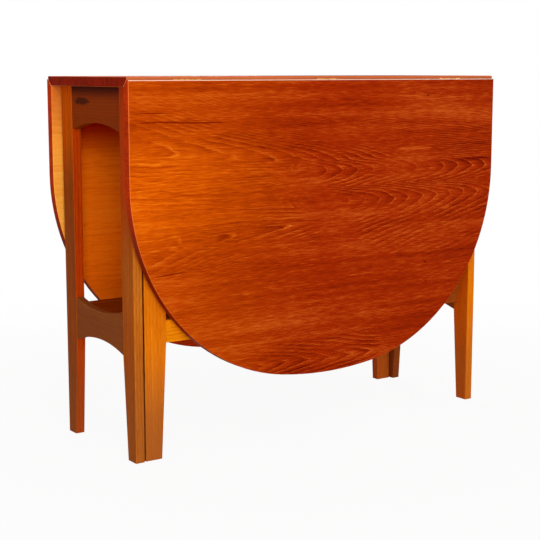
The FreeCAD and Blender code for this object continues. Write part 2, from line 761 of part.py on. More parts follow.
def make_gate(turned):
    leg = leg_blank(
        named(turned, "gate_leg_blank"),
        size("gate_leg_width"),
        size("gate_foot_width"),
        size("gate_thick"),
        GATE_TOP,
        size("gate_rail_bottom"),
    )
    place(leg, GATE_END, GATE_OUTER, "0", turned)
    holes = [dowel_hole(site) for site in gate_dowel_sites(turned)]
    keep(cut(leg, holes), named(turned, "gate_leg"))
    thick = (GATE_INNER, GATE_OUTER)
    tall = (size("gate_rail_bottom"), GATE_TOP)
    stile = plank(named(turned, "gate_stile_blank"), (STILE_END, GATE_RAIL_LOW), thick, tall, True, turned)
    holes = [dowel_hole(site) for site in gate_dowel_sites(turned)]
    holes += [screw_hole(site) for site in gate_screws(True, turned)]
    keep(cut(stile, holes), named(turned, "gate_stile"))
    for kind, (low, high) in GATE_RAILS.items():
        name = named(turned, kind)
        rail = plank(name + "_blank", (GATE_RAIL_LOW, GATE_RAIL_HIGH), thick, (low, high), False, turned)
        holes = [dowel_hole(site) for site in gate_dowel_sites(turned)]
        keep(cut(rail, holes), name)
    dowels = [dowel(site) for site in gate_dowel_sites(turned)]
    keep(group(dowels), named(turned, "gate_dowels"))


# Gate hinges: one on the long upper rail and one on the stretcher, closed while the gate is folded.

def gate_hinge_middles():
    """The middle height of each hinge."""
    return (
        "((sizes.stretcher_bottom + sizes.stretcher_top) / 2)",
        f"({UNDERSIDE} - sizes.long_upper_depth / 2)",
    )


def gate_screws(moving, turned):
    sites = []
    x = f"{GATE_PIVOT_X} + sizes.gate_knuckle_radius + {GATE_SCREW_ACROSS_SHARE} * sizes.gate_plate_width"
    face = f"{GATE_INNER} - sizes.gate_plate_thick" if moving else f"{RAIL_FACE} + sizes.gate_plate_thick"
    rotation = ALONG_Y if moving else AGAINST_Y
    for middle in gate_hinge_middles():
        for share in GATE_SCREW_SHARES:
            z = f"{middle} + ({share} - 0.5) * sizes.gate_hinge_length"
            sites.append(screw_site(x, face, z, rotation, turned))
    return sites


def gate_segment(middle, number):
    step = f"(sizes.gate_hinge_length / {GATE_HINGE_SEGMENTS})"
    low = f"{middle} - sizes.gate_hinge_length / 2 + {number} * {step} + sizes.fit_play"
    return low, f"{low} + {step} - 2 * sizes.fit_play"


def gate_plate(moving, middle, turned):
    clear = f"({GATE_PIVOT_X} + sizes.gate_knuckle_radius + sizes.seat_play)"
    end = f"({GATE_PIVOT_X} + sizes.gate_knuckle_radius + sizes.gate_plate_width)"
    if moving:
        y = (f"{GATE_INNER} - sizes.gate_plate_thick", GATE_INNER)
    else:
        y = (RAIL_FACE, f"{RAIL_FACE} + sizes.gate_plate_thick")
    half = "sizes.gate_hinge_length / 2"
    pieces = [box((clear, end), y, (f"{middle} - {half}", f"{middle} + {half}"), turned)]
    for number in range(1 if moving else 0, GATE_HINGE_SEGMENTS, 2):
        low, high = gate_segment(middle, number)
        pieces.append(box((GATE_PIVOT_X, f"{clear} + sizes.gate_plate_thick"), y, (low, high), turned))
        pieces.append(
            rod(
                size("gate_knuckle_radius"),
                f"({high}) - ({low})",
                GATE_PIVOT_X,
                GATE_PIVOT_Y,
                low,
                UPRIGHT,
                turned,
            )
        )
    bore = rod(
        "sizes.gate_pin_radius + sizes.fit_play",
        "sizes.gate_hinge_length + 2 * sizes.overrun",
        GATE_PIVOT_X,
        GATE_PIVOT_Y,
        f"{middle} - {half} - sizes.overrun",
        UPRIGHT,
        turned,
    )
    return cut(fuse(pieces), [bore] + [screw_hole(site) for site in gate_screws(moving, turned)])


def make_gate_hinges(turned):
    for moving, owner in ((False, "fixed"), (True, "moving")):
        plates = [gate_plate(moving, middle, turned) for middle in gate_hinge_middles()]
        keep(group(plates), named(turned, f"gate_{owner}_plates"))
        screws = [screw(site) for site in gate_screws(moving, turned)]
        keep(group(screws), named(turned, f"gate_{owner}_screws"))
    pins = [
        rod(
            size("gate_pin_radius"),
            size("gate_hinge_length"),
            GATE_PIVOT_X,
            GATE_PIVOT_Y,
            f"{middle} - sizes.gate_hinge_length / 2",
            UPRIGHT,
            turned,
        )
        for middle in gate_hinge_middles()
    ]
    keep(group(pins), named(turned, "gate_hinge_pins"))


# Top fixing: two blocks inside each upper end rail, screwed to the rail and up into the top board.

def block_middles():
    return f"-{BLOCK_SPREAD} / 2", f"{BLOCK_SPREAD} / 2"


def block_screw_sites():
    """The level and the upright screw of each block. Each starts flush on the block's open face."""
    sites = []
    for turned in (False, True):
        for middle in block_middles():
            level_y = f"{middle} - {BLOCK_LENGTH} / 4"
            upright_y = f"{middle} + {BLOCK_LENGTH} / 4"
            inner = f"{END_RAIL_INNER} - sizes.block_side"
            z = f"{UNDERSIDE} - sizes.block_side / 2"
            sites.append({"x": inner, "y": level_y, "z": z, "rotation": ALONG_X, "turned": turned})
            x = f"{END_RAIL_INNER} - sizes.block_side / 2"
            low = f"{UNDERSIDE} - sizes.block_side"
            sites.append({"x": x, "y": upright_y, "z": low, "rotation": UPRIGHT, "turned": turned})
    return sites


def block_screw(site, play="0"):
    length = f"sizes.block_side + sizes.block_screw_depth + {play}"
    return rod(f"sizes.block_screw_radius + {play}", length, **site)


def make_top_fixing():
    blocks = []
    for turned in (False, True):
        for middle in block_middles():
            blank = box(
                (f"{END_RAIL_INNER} - sizes.block_side", END_RAIL_INNER),
                (f"{middle} - {BLOCK_LENGTH} / 2", f"{middle} + {BLOCK_LENGTH} / 2"),
                (f"{UNDERSIDE} - sizes.block_side", UNDERSIDE),
                turned,
            )
            holes = [block_screw(site, size("fit_play")) for site in block_screw_sites()]
            blocks.append(cut(blank, holes))
    keep(group(blocks), "top_fixing_blocks")
    keep(group([block_screw(site) for site in block_screw_sites()]), "top_fixing_screws")


def make_frame_dowels():
    ends = [dowel(site) for turned in (False, True) for site in end_dowels(turned)]
    keep(group(ends), "end_rail_dowels")
    longs = [dowel(site) for turned in (False, True) for site in long_dowels(turned)]
    keep(group(longs), "long_rail_dowels")


make_top_board()
make_top_fixing()
make_frame_dowels()
for is_right in (True, False):
    for is_rear in (True, False):
        make_leg(is_right, is_rear)
for on_front in (False, True):
    make_end_rails(on_front)
    make_long_rails(on_front)
    make_leaf(on_front)
    make_leaf_hinges(on_front)
    make_gate_stop(on_front)
    make_gate(on_front)
    make_gate_hinges(on_front)

doc.recompute()
for thing in doc.Objects:
    if "Invalid" in thing.State or "Error" in thing.State:
        raise RuntimeError(f"{thing.Label} failed: {thing.State}")
for piece in subparts:
    if piece.Shape.isNull() or not piece.Shape.isValid():
        raise RuntimeError(f"{piece.Label} has no valid shape")

os.makedirs("parts", exist_ok=True)
for piece in subparts:
    piece.Shape.exportStep(f"parts/{piece.Label}.step")
    print(piece.Label, len(piece.Shape.Solids), "solids", round(piece.Shape.Volume), "mm3")
print(len(subparts), "sub-parts")
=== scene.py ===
# %% [markdown]
# A folded gateleg table in oiled teak.
#
# The solids of the table come ready from CAD, each under its own name: boards, legs, rails, gates, hinges and
# pegs. This lesson dresses them. It gives every board a wood figure that runs the way its grain runs, gives
# the metal its finish, cuts slots into the screw heads, and sets up a floor, lights and a camera.

# %% Load the table
import json
import math

import bpy
from mathutils import Color, Matrix, Vector

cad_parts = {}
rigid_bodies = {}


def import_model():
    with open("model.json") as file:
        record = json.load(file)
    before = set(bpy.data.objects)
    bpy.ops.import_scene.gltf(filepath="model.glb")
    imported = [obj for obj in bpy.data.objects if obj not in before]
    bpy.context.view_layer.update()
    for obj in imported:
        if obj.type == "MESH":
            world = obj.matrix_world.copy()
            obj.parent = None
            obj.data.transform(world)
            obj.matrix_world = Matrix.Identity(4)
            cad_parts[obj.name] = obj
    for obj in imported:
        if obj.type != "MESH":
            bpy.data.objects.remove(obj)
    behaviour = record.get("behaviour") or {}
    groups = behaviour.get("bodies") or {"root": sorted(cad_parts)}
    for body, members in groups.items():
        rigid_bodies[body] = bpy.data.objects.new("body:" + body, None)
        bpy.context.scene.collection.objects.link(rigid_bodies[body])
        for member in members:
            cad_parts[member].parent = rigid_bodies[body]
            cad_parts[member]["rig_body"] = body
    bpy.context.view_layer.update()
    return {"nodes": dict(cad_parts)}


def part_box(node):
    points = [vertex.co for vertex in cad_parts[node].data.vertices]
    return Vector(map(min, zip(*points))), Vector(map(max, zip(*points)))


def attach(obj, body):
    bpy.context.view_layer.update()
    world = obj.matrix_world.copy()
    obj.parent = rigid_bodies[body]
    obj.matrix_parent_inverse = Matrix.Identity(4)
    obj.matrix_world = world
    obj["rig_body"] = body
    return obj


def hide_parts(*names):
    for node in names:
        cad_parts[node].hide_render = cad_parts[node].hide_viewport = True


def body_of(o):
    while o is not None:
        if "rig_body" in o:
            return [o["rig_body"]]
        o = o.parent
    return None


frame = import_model()
nodes = frame["nodes"]

# %% [markdown]
# Camera.
#
# The camera comes first, because every later choice is judged through it. It stands a little above the top's
# height, in front of the left end, and looks slightly down. A long lens keeps the far end from shrinking
# much. Its place was worked out from the straight edges of the table, so it is set by numbers and not by eye.

# %% Camera
CAMERA_PLACE = (-1.5865, -2.2422, 0.7448)
CAMERA_YAW = math.radians(-34.834)
QUARTER_TURN = math.radians(90)
LOOKING_DOWN = math.radians(8.8)
SENSOR_WIDTH = 36
LENS_LENGTH = 85.65

bpy.ops.object.select_all(action="DESELECT")
bpy.ops.object.camera_add(location=CAMERA_PLACE, rotation=(QUARTER_TURN - LOOKING_DOWN, 0, CAMERA_YAW))
camera = bpy.context.object
camera.name = "viewpoint"
camera.data.sensor_width = SENSOR_WIDTH
camera.data.lens = LENS_LENGTH
bpy.context.scene.camera = camera
print("camera at", [round(c, 3) for c in camera.location])

# %% [markdown]
# Small helpers for materials.
#
# A node material is a chain of boxes joined by wires. Written out in full, each box takes four or five lines,
# so a few helpers keep the cells short. An input is either a plain value or the output of another box, in
# which case a wire is drawn.

# %% Boxes and sums
def fill(tree, socket, value):
    """Gives an input a plain value, or wires it to the output of another box."""
    if isinstance(value, bpy.types.NodeSocket):
        tree.links.new(value, socket)
    else:
        socket.default_value = value


def add_box(tree, kind, settings=None, **inputs):
    """Adds a node, sets its properties, and fills its inputs by name."""
    box = tree.nodes.new("ShaderNode" + kind)
    for name, value in (settings or {}).items():
        setattr(box, name, value)
    for name, value in inputs.items():
        fill(tree, box.inputs[name.replace("_", " ")], value)
    return box


def sums(tree, operation, *values):
    """One sum of up to three numbers or sockets."""
    box = add_box(tree, "Math", {"operation": operation})
    for socket, value in zip(box.inputs, values):
        fill(tree, socket, value)
    return box.outputs[0]


def length_of(tree, vector):
    """How long a vector is."""
    return add_box(tree, "VectorMath", {"operation": "LENGTH"}, Vector=vector).outputs["Value"]


print("helpers for boxes and sums ready")

# %% [markdown]
# Shares and limits.
#
# Most choices in these materials answer one question: how far has a value come between two limits? The answer
# is a share from 0 to 1 that eases in and out, as most changes in wood do. The limits are kept as named
# tuples. The first two numbers say where the change starts and ends. Two more give the results there, where
# these aren't 0 and 1. A band that rises and falls again has four limits, two for each side.

# %% Limits
def spread(tree, value, low, high, to_low=0.0, to_high=1.0):
    """Stretches a range of values over another one and stops at its ends."""
    box = add_box(
        tree, "MapRange", {"interpolation_type": "SMOOTHSTEP"},
        Value=value, From_Min=low, From_Max=high, To_Min=to_low, To_Max=to_high,
    )
    return box.outputs["Result"]


def within(tree, value, limits):
    """1 between the two inner limits of four, and 0 outside the two outer ones."""
    start, risen, falling, end = limits
    return sums(tree, "MULTIPLY", spread(tree, value, start, risen), spread(tree, value, end, falling))


print("helpers for limits ready")

# %% [markdown]
# Colours.
#
# Colours are easiest to choose as a screen shows them, but shaders work with linear light, so every colour is
# turned round on its way in. A wood has three of them, for its pale, its even and its dark parts. A Mix box
# has sockets for every kind of data, so the ones for a share, two colours and their mix are named by place.

# %% Colour helpers
SCREEN_WHITE = 255
MIX_INPUTS = (0, 6, 7)
MIX_OUTPUT = 2


def screen_colour(*channels):
    """A colour as a screen shows it, from 0 to 255, turned into the linear values that shaders use."""
    shares = Color([channel / SCREEN_WHITE for channel in channels])
    return (*shares.from_srgb_to_scene_linear(), 1)


def shades(pale, even, dark):
    """The three colours of one wood."""
    return [screen_colour(*colour) for colour in (pale, even, dark)]


def mix_colours(tree, share, first, second):
    """Mixes two colours by a share from 0 to 1."""
    box = add_box(tree, "Mix", {"data_type": "RGBA"})
    for place, value in zip(MIX_INPUTS, (share, first, second)):
        fill(tree, box.inputs[place], value)
    return box.outputs[MIX_OUTPUT]


print("helpers for colours ready")

# %% [markdown]
# Ramps and materials.
#
# A tone is one number, from 0 for dark wood to 1 for pale wood. A ramp turns it into a colour: it blends the
# three colours of a wood, with the even one in the middle.

# %% Ramps and materials
EVEN_TONE = 0.5


def ramp_over(tree, value, stops):
    """Colours a value along a ramp, with stops of a position and a colour from position 0 to 1."""
    ramp = add_box(tree, "ValToRGB", Fac=value)
    elements = ramp.color_ramp.elements
    elements[0].color = stops[0][1]
    elements[1].color = stops[-1][1]
    for position, colour in stops[1:-1]:
        elements.new(position).color = colour
    return ramp.outputs["Color"]


def coloured(tree, tone, colours):
    """Colours a tone with a pale, an even and a dark wood."""
    pale, even, dark = colours
    return ramp_over(tree, tone, [(0.0, dark), (EVEN_TONE, even), (1.0, pale)])


def new_material(name):
    """A new node material with its tree and its main shader."""
    material = bpy.data.materials.new(name)
    material.use_nodes = True
    tree = material.node_tree
    return material, tree, tree.nodes["Principled BSDF"]


print("helpers for ramps and materials ready")

# %% [markdown]
# How teak gets its figure.
#
# A board is a slice through a trunk, and each year's ring meets the slice as a line. Near the board's edges
# the lines run straight. Around its heart line they close into tall arches, one inside the other. So the
# figure can be drawn as a contour map: make a landscape over the board, and draw a line at every full step of
# its height. Places in it are measured along the heart line and beside it. A real heart line is never quite
# straight, so a slow noise pushes it about by up to a centimetre.

# %% Grain and heart line
GRAIN_TURNS = {"X": (0, 0, 0), "Y": (0, 0, -QUARTER_TURN), "Z": (0, QUARTER_TURN, 0)}
HEART_GRAINS = (3.0, 9.0, 9.0)
HEART_WANDER = 0.026


def grain_space(tree, grain, shift):
    """Coordinates in metres whose X runs along the grain, moved so that each piece is another slice."""
    place = add_box(tree, "TexCoord").outputs["Object"]
    turned = add_box(tree, "Mapping", Vector=place, Rotation=GRAIN_TURNS[grain], Location=shift)
    return turned.outputs["Vector"]


def stretched_noise(tree, space, grains, detail=2.0, roughness=0.5):
    """Noise that is long along the grain, with the given number of grains per metre along X, Y and Z."""
    squeezed = add_box(tree, "Mapping", Vector=space, Scale=grains).outputs["Vector"]
    noise = add_box(tree, "TexNoise", Vector=squeezed, Scale=1.0, Detail=detail, Roughness=roughness)
    return noise.outputs["Fac"]


def heart_line(tree, space, figure):
    """Distances along a board's heart line, and across it."""
    parts = add_box(tree, "SeparateXYZ", Vector=space).outputs
    along = sums(tree, "MULTIPLY_ADD", parts["X"], figure["points"], figure["shift"])
    straight = sums(tree, "SUBTRACT", parts[figure["across"]], figure["heart"] + HEART_WANDER / 2)
    wander = stretched_noise(tree, space, HEART_GRAINS)
    return along, sums(tree, "MULTIPLY_ADD", wander, HEART_WANDER, straight)


print("grain helpers ready")

# %% [markdown]
# Curves of rings.
#
# Across the board, the landscape follows a drawn curve. Two crests far from the heart line make two rows of
# long arches. Two crests close to it make a double stack of short ones, and a single crest makes a small
# nest. A curve is a list of points: the distance from the heart line in metres, and the height in rings
# below the crest. It is rounded everywhere but on the heart line itself, where it may turn sharply.

# %% Ring curves
RING_RANGE = 30.0
CURVE_MIDDLE = 0.5
CURVE_SLACK = 0.001
LONG_REACH = 0.2
LONG_ARCHES = [
    (-0.2, -13), (-0.16, -6), (-0.135, -2.2), (-0.115, -0.6), (-0.1, 0), (-0.085, -1.6), (0, -10),
    (0.058, -1.8), (0.073, 0), (0.088, -0.35), (0.103, -1.0), (0.125, -3.0), (0.2, -15),
]
SHORT_REACH = 0.11
SHORT_ARCHES = [
    (-0.11, -8), (-0.085, -5), (-0.065, -2.6), (-0.05, -1.1), (-0.038, -0.25), (-0.03, 0), (-0.019, -0.5),
    (-0.008, -2), (0, -3.6), (0.008, -2.2), (0.022, -0.6), (0.034, 0), (0.044, -0.4), (0.054, -2),
    (0.066, -5), (0.11, -14),
]
NEST_REACH = 0.05
NEST_ARCHES = [
    (-0.05, -5), (-0.025, -2.1), (-0.012, -0.7), (0, 0), (0.012, -0.8), (0.025, -2.3), (0.05, -5.4),
]


def rings_over(tree, distance, reach, points):
    """Turns a distance from the heart line into a height in rings, along a curve of points."""
    share = sums(tree, "MULTIPLY_ADD", distance, CURVE_MIDDLE / reach, CURVE_MIDDLE)
    box = add_box(tree, "FloatCurve", Value=share)
    curve = box.mapping.curves[0]
    spots = [(CURVE_MIDDLE + place / reach * CURVE_MIDDLE, rings / RING_RANGE + 1) for place, rings in points]
    curve.points[0].location = spots[0]
    curve.points[1].location = spots[-1]
    for spot in spots[1:-1]:
        curve.points.new(*spot)
    for point in curve.points:
        on_heart_line = abs(point.location.x - CURVE_MIDDLE) < CURVE_SLACK
        point.handle_type = "VECTOR" if on_heart_line else "AUTO_CLAMPED"
    box.mapping.update()
    return sums(tree, "MULTIPLY", sums(tree, "SUBTRACT", box.outputs["Value"], 1.0), RING_RANGE)


print("ring curves of", len(LONG_ARCHES), "and", len(SHORT_ARCHES), "and", len(NEST_ARCHES), "points")

# %% [markdown]
# The landscape.
#
# Along the grain the landscape falls, so that every contour runs along the board, turns at a crest and comes
# back. That turn is the point of an arch. The rows of long arches close up towards one end. A hill of short
# arches starts near the middle, with a steep flank in front and a gentle one behind. There the long arches
# fall away faster, so that the hill wins. A soft maximum joins the two without breaking a line.

# %% Landscape of the figure
FAN = 1.5
LONG_FALL = -8.0
STEEPER_FALL = -18.0
STEEPENING = 0.2
STACK_START = -0.02
STACK_SKEW = 0.9
STACK_HEIGHT = 2.0
STACK_RISE = 60.0
STACK_FALL = -25.0
JOINING = 0.6


def figured_height(tree, along, across):
    """The height of the landscape in rings, and the distance past the start of the stack."""
    past = sums(tree, "MULTIPLY_ADD", across, STACK_SKEW, sums(tree, "SUBTRACT", along, STACK_START))
    fan = sums(tree, "MULTIPLY", across, sums(tree, "MULTIPLY_ADD", along, FAN, FAN))
    beyond = sums(tree, "SMOOTH_MAX", past, 0.0, STEEPENING)
    slope = sums(tree, "MULTIPLY_ADD", beyond, STEEPER_FALL, sums(tree, "MULTIPLY", along, LONG_FALL))
    long_arches = sums(tree, "ADD", slope, rings_over(tree, fan, LONG_REACH, LONG_ARCHES))
    rise = sums(tree, "MULTIPLY", past, STACK_RISE)
    fall = sums(tree, "MULTIPLY", past, STACK_FALL)
    hill = sums(tree, "ADD", sums(tree, "MINIMUM", fall, rise), STACK_HEIGHT)
    short_arches = sums(tree, "ADD", hill, rings_over(tree, across, SHORT_REACH, SHORT_ARCHES))
    return sums(tree, "SMOOTH_MAX", long_arches, short_arches, JOINING), past


print("landscape ready")

# %% [markdown]
# Lively and quiet wood.
#
# The rings are strong around the heart line and hardly show near the board's edges. Two patches are quieter
# than the rest: one beside the start of the stack, and one on the heart line towards the end of the long
# arches. Away from the heart line lies a small nest of arches, such as a grown-over side shoot leaves. It has
# a landscape and a strength of its own.

# %% Strength of the figure
LIVELY_ASIDE = (0.17, 0.09, 0.22, 0.85)
CALM_PAST = (-0.13, -0.06, 0.0, 0.05)
CALM_ACROSS = (-0.14, -0.09, 0.03, 0.06)
CALM_SHARE = 0.9
SOFT_ALONG = (-0.1, -0.26)
SOFT_ASIDE = (0.1, 0.05)
SOFT_SHARE = 0.6
NEST_FALL = -18.0
NEST_PAST = (-0.24, -0.12, 0.11, 0.16)
NEST_ASIDE = (0.05, 0.034, 0.0, 0.95)


def figure_strength(tree, along, across, past):
    """How strong the rings are: weak far from the heart line, and quiet in two patches."""
    aside = sums(tree, "ABSOLUTE", across)
    lively = spread(tree, aside, *LIVELY_ASIDE)
    calm = sums(tree, "MULTIPLY", within(tree, past, CALM_PAST), within(tree, across, CALM_ACROSS))
    calm = sums(tree, "MULTIPLY", calm, CALM_SHARE)
    soft = sums(tree, "MULTIPLY", spread(tree, along, *SOFT_ALONG), spread(tree, aside, *SOFT_ASIDE))
    soft = sums(tree, "MULTIPLY", soft, SOFT_SHARE)
    return sums(tree, "MULTIPLY", lively, sums(tree, "SUBTRACT", 1.0, sums(tree, "MAXIMUM", calm, soft)))


def nest_of_arches(tree, along, across, nest):
    """The landscape of the small nest, and how strong it is."""
    past = sums(tree, "SUBTRACT", along, nest[0])
    offset = sums(tree, "SUBTRACT", across, nest[1])
    height = sums(tree, "MULTIPLY_ADD", past, NEST_FALL, rings_over(tree, offset, NEST_REACH, NEST_ARCHES))
    beside = spread(tree, sums(tree, "ABSOLUTE", offset), *NEST_ASIDE)
    return height, sums(tree, "MULTIPLY", within(tree, past, NEST_PAST), beside)


print("strength of the figure ready")

# %% [markdown]
# Straight grain, teeth and marks.
#
# Rails, legs and the inner faces of the boards were cut away from the heart, so their landscape is a plain
# slope with a slow wave in it. Real rings aren't smooth lines: fine noise gives them small teeth. And every
# board has a few marks of its own, such as mineral streaks, pin knots and pale flecks. They are ovals that
# are added to the tone one by one.

# %% Straight grain, teeth and marks
WAVE_GRAINS = (1.6, 9.0, 9.0)
WAVE_RINGS = 5.0
TEETH_GRAINS = (34.0, 150.0, 150.0)
TEETH_RINGS = 0.5
MARK_EDGE = (1.0, 0.5)


def straight_height(tree, space, rings_per_metre):
    """A landscape that only slopes across the piece, so that its lines run straight."""
    parts = add_box(tree, "SeparateXYZ", Vector=space).outputs
    slope = sums(tree, "MULTIPLY", sums(tree, "ADD", parts["Z"], parts["Y"]), rings_per_metre)
    wave = stretched_noise(tree, space, WAVE_GRAINS, detail=1.0)
    return sums(tree, "MULTIPLY_ADD", wave, WAVE_RINGS, slope)


def ragged(tree, space, height):
    """Breaks the smooth contours into the small teeth that real rings have."""
    teeth = stretched_noise(tree, space, TEETH_GRAINS, detail=3.0, roughness=0.6)
    return sums(tree, "MULTIPLY_ADD", teeth, TEETH_RINGS, height)


def marked(tree, tone, along, across, marks):
    """Adds marks to a tone: a place along and across the heart line, half a length, half a width, a tone."""
    for place, beside, length, width, shade in marks:
        lengthwise = sums(tree, "DIVIDE", sums(tree, "SUBTRACT", along, place), length)
        sideways = sums(tree, "DIVIDE", sums(tree, "SUBTRACT", across, beside), width)
        oval = add_box(tree, "CombineXYZ", X=lengthwise, Y=sideways).outputs["Vector"]
        inside = spread(tree, length_of(tree, oval), *MARK_EDGE)
        tone = sums(tree, "MULTIPLY_ADD", inside, shade, tone)
    return tone


print("straight grain, teeth and marks ready")

# %% [markdown]
# From rings to tone.
#
# Teak's rings are an even orange that darkens towards the year's end, and a thin pale line of open pores
# marks where the next year starts. Over the rings lie fine streaks from the pores, like short scratches along
# the grain, and broad soft bands and clouds where the wood took more or less oil. All of these are added up
# to one tone, from dark to pale. The mean of the layers is taken off, so that even wood stays in the middle.

# %% Teak tone
RING_STOPS = ((0.0, 1.0), (0.07, 1.0), (0.15, 0.0), (0.30, 0.0), (0.75, 0.5), (1.0, 0.5))
FADE_GRAINS = (5.0, 26.0, 26.0)
FADE = (0.32, 0.64, 0.06, 0.38)
BAND_GRAINS = (1.5, 60.0, 60.0)
BAND_WEIGHT = -1.0
CLOUD_GRAINS = (3.0, 8.0, 8.0)
CLOUD_WEIGHT = 0.7
PORE_GRAINS = (38.0, 480.0, 480.0)
PORE_WEIGHT = 1.15
LAYER_MEAN = 0.44


def ring_tone(tree, height):
    """-1 at the dark end of a ring, 1 on the pale line after it, and 0 for the even wood between."""
    stops = [(position, (grey, grey, grey, 1)) for position, grey in RING_STOPS]
    greys = ramp_over(tree, sums(tree, "FRACT", height), stops)
    return sums(tree, "MULTIPLY_ADD", greys, 2.0, -1.0)


def teak_tone(tree, space, figures, depth=1.0):
    """The tone of a piece of teak, 0 for dark and 1 for pale, and its pore streaks.

    Each figure is a landscape and how strong its rings are. The depth is for the whole tone.
    """
    fade = spread(tree, stretched_noise(tree, space, FADE_GRAINS), *FADE)
    tone = 0.0
    for height, strength in figures:
        rings = ring_tone(tree, ragged(tree, space, height))
        tone = sums(tree, "MULTIPLY_ADD", rings, sums(tree, "MULTIPLY", fade, strength), tone)
    bands = stretched_noise(tree, space, BAND_GRAINS, detail=5.0, roughness=0.72)
    clouds = stretched_noise(tree, space, CLOUD_GRAINS, detail=3.0)
    pores = stretched_noise(tree, space, PORE_GRAINS, detail=3.0, roughness=0.65)
    for layer, weight in ((bands, BAND_WEIGHT), (clouds, CLOUD_WEIGHT), (pores, PORE_WEIGHT)):
        tone = sums(tree, "MULTIPLY_ADD", layer, weight, tone)
    tone = sums(tree, "SUBTRACT", tone, LAYER_MEAN)
    return sums(tree, "MULTIPLY_ADD", tone, depth, EVEN_TONE), pores


print("teak tone ready")

# %% [markdown]
# The oiled surface.
#
# Oiled teak hardly mirrors its room, so its shine is set low and warm. The open pores are duller than the
# wood between them and lie a little deeper, so the same streaks also drive the roughness and a shallow bump.

# %% Oiled surface
OILED_SHINE = 0.015
WARM_SHINE = (1.0, 0.55, 0.25, 1)
PORE_DULLNESS = (0.3, 0.7, 0.45, 0.59)
DENT_STRENGTH = 0.12
DENT_DEPTH = 0.0006


def finish_wood(tree, shader, colour, pores):
    """Wires a wood's colour to the shader, with pores that dull and dent the finish."""
    tree.links.new(colour, shader.inputs["Base Color"])
    tree.links.new(spread(tree, pores, *PORE_DULLNESS), shader.inputs["Roughness"])
    shader.inputs["Specular IOR Level"].default_value = OILED_SHINE
    shader.inputs["Specular Tint"].default_value = WARM_SHINE
    dents = add_box(tree, "Bump", Height=pores, Strength=DENT_STRENGTH, Distance=DENT_DEPTH)
    tree.links.new(dents.outputs["Normal"], shader.inputs["Normal"])


print("oiled surface ready")

# %% [markdown]
# The show face.
#
# A leaf has three kinds of surface: a show face with a lively figure, a plain inner face, and a darker rim.
# The show face comes first, because it is most of what one sees. It is red teak that turns amber at one end,
# most of all along the heart line.

# %% Show face
SHOW_COLOURS = shades((198, 88, 24), (155, 39, 1), (102, 13, 0))
AMBER_COLOURS = shades((238, 132, 24), (210, 88, 2), (158, 48, 0))
AMBER_ALONG = (0.0, -0.42)
AMBER_ASIDE = (0.15, 0.03, 0.4, 1.0)


def show_face(tree, space, figure):
    """The colour of a figured face, with its tone and its pores."""
    along, across = heart_line(tree, space, figure)
    height, past = figured_height(tree, along, across)
    arches = (height, figure_strength(tree, along, across, past))
    nest = nest_of_arches(tree, along, across, figure["nest"])
    tone, pores = teak_tone(tree, space, [arches, nest])
    tone = marked(tree, tone, along, across, figure["marks"])
    near_heart = spread(tree, sums(tree, "ABSOLUTE", across), *AMBER_ASIDE)
    amber = sums(tree, "MULTIPLY", spread(tree, along, *AMBER_ALONG), near_heart)
    red_wood = coloured(tree, tone, SHOW_COLOURS)
    return mix_colours(tree, amber, red_wood, coloured(tree, tone, AMBER_COLOURS)), tone, pores


print("show face ready")

# %% [markdown]
# The inner face.
#
# The side of a leaf that hangs towards the frame has plain, straight grain. At the open ends of the table it
# is painted paler as painted light, and close under the top and at its lower end it is painted redder and
# darker as painted shade.

# %% Inner face
INNER_COLOURS = shades((255, 150, 40), (255, 118, 6), (214, 70, 1))
# Painted light: the paler wood at the open ends stands for the lamp reaching in.
LIT_INNER_COLOURS = shades((255, 202, 112), (255, 170, 62), (240, 120, 22))
# Painted shade: the redder, darker wood close under the top and at the lower end.
SHADED_RED_INNER = shades((212, 54, 5), (192, 26, 0), (142, 14, 0))
INNER_RINGS = 90.0
INNER_STRENGTH = 0.4
INNER_DEPTH = 0.55
LIT_OPEN_ENDS = (0.39, 0.43)
LIT_HEIGHT = (0.72, 0.56, 0.45, 1.0)
SHADE_UNDER_TOP = (0.555, 0.64)
SHADE_AT_LOWER_END = (0.26, 0.18, 0.0, 0.8)


def inner_face(tree, space):
    """The plain side of a board, with painted light at the open ends and painted shade at top and bottom."""
    rings = straight_height(tree, space, INNER_RINGS)
    tone = teak_tone(tree, space, [(rings, INNER_STRENGTH)], INNER_DEPTH)[0]
    parts = add_box(tree, "SeparateXYZ", Vector=space).outputs
    # Painted shade close under the top and at the lower end.
    high = spread(tree, parts["Z"], *SHADE_UNDER_TOP)
    low = spread(tree, parts["Z"], *SHADE_AT_LOWER_END)
    shade_share = sums(tree, "MAXIMUM", high, low)
    colour = mix_colours(tree, shade_share, coloured(tree, tone, INNER_COLOURS), coloured(tree, tone, SHADED_RED_INNER))
    # Painted light at the open ends, below the top.
    lit_ends = spread(tree, sums(tree, "ABSOLUTE", parts["X"]), *LIT_OPEN_ENDS)
    pale = sums(tree, "MULTIPLY", lit_ends, spread(tree, parts["Z"], *LIT_HEIGHT))
    return mix_colours(tree, pale, colour, coloured(tree, tone, LIT_INNER_COLOURS))


print("inner face ready")

# %% [markdown]
# The rim.
#
# One material can tell the faces of a board apart by the direction in which the surface looks. It is read in
# the board's own space, so it still holds when a leaf swings up. The rim shows the rings of the face darker
# than the wood between them, and where it looks down it is painted darker and browner as painted shade.

# %% Rim
DARK_RIM_SHARE = 0.5
RIM_TONE = (0.1, 0.8)
# Painted shade: the rim is darker and browner where it looks down.
SHADED_LOW_RIM = screen_colour(132, 34, 3)
LOOKS_LOW = (0.02, -0.35)


def facing(tree):
    """How far a surface looks along each axis of its own piece, from -1 to 1."""
    normal = add_box(tree, "TexCoord").outputs["Normal"]
    return add_box(tree, "SeparateXYZ", Vector=normal).outputs


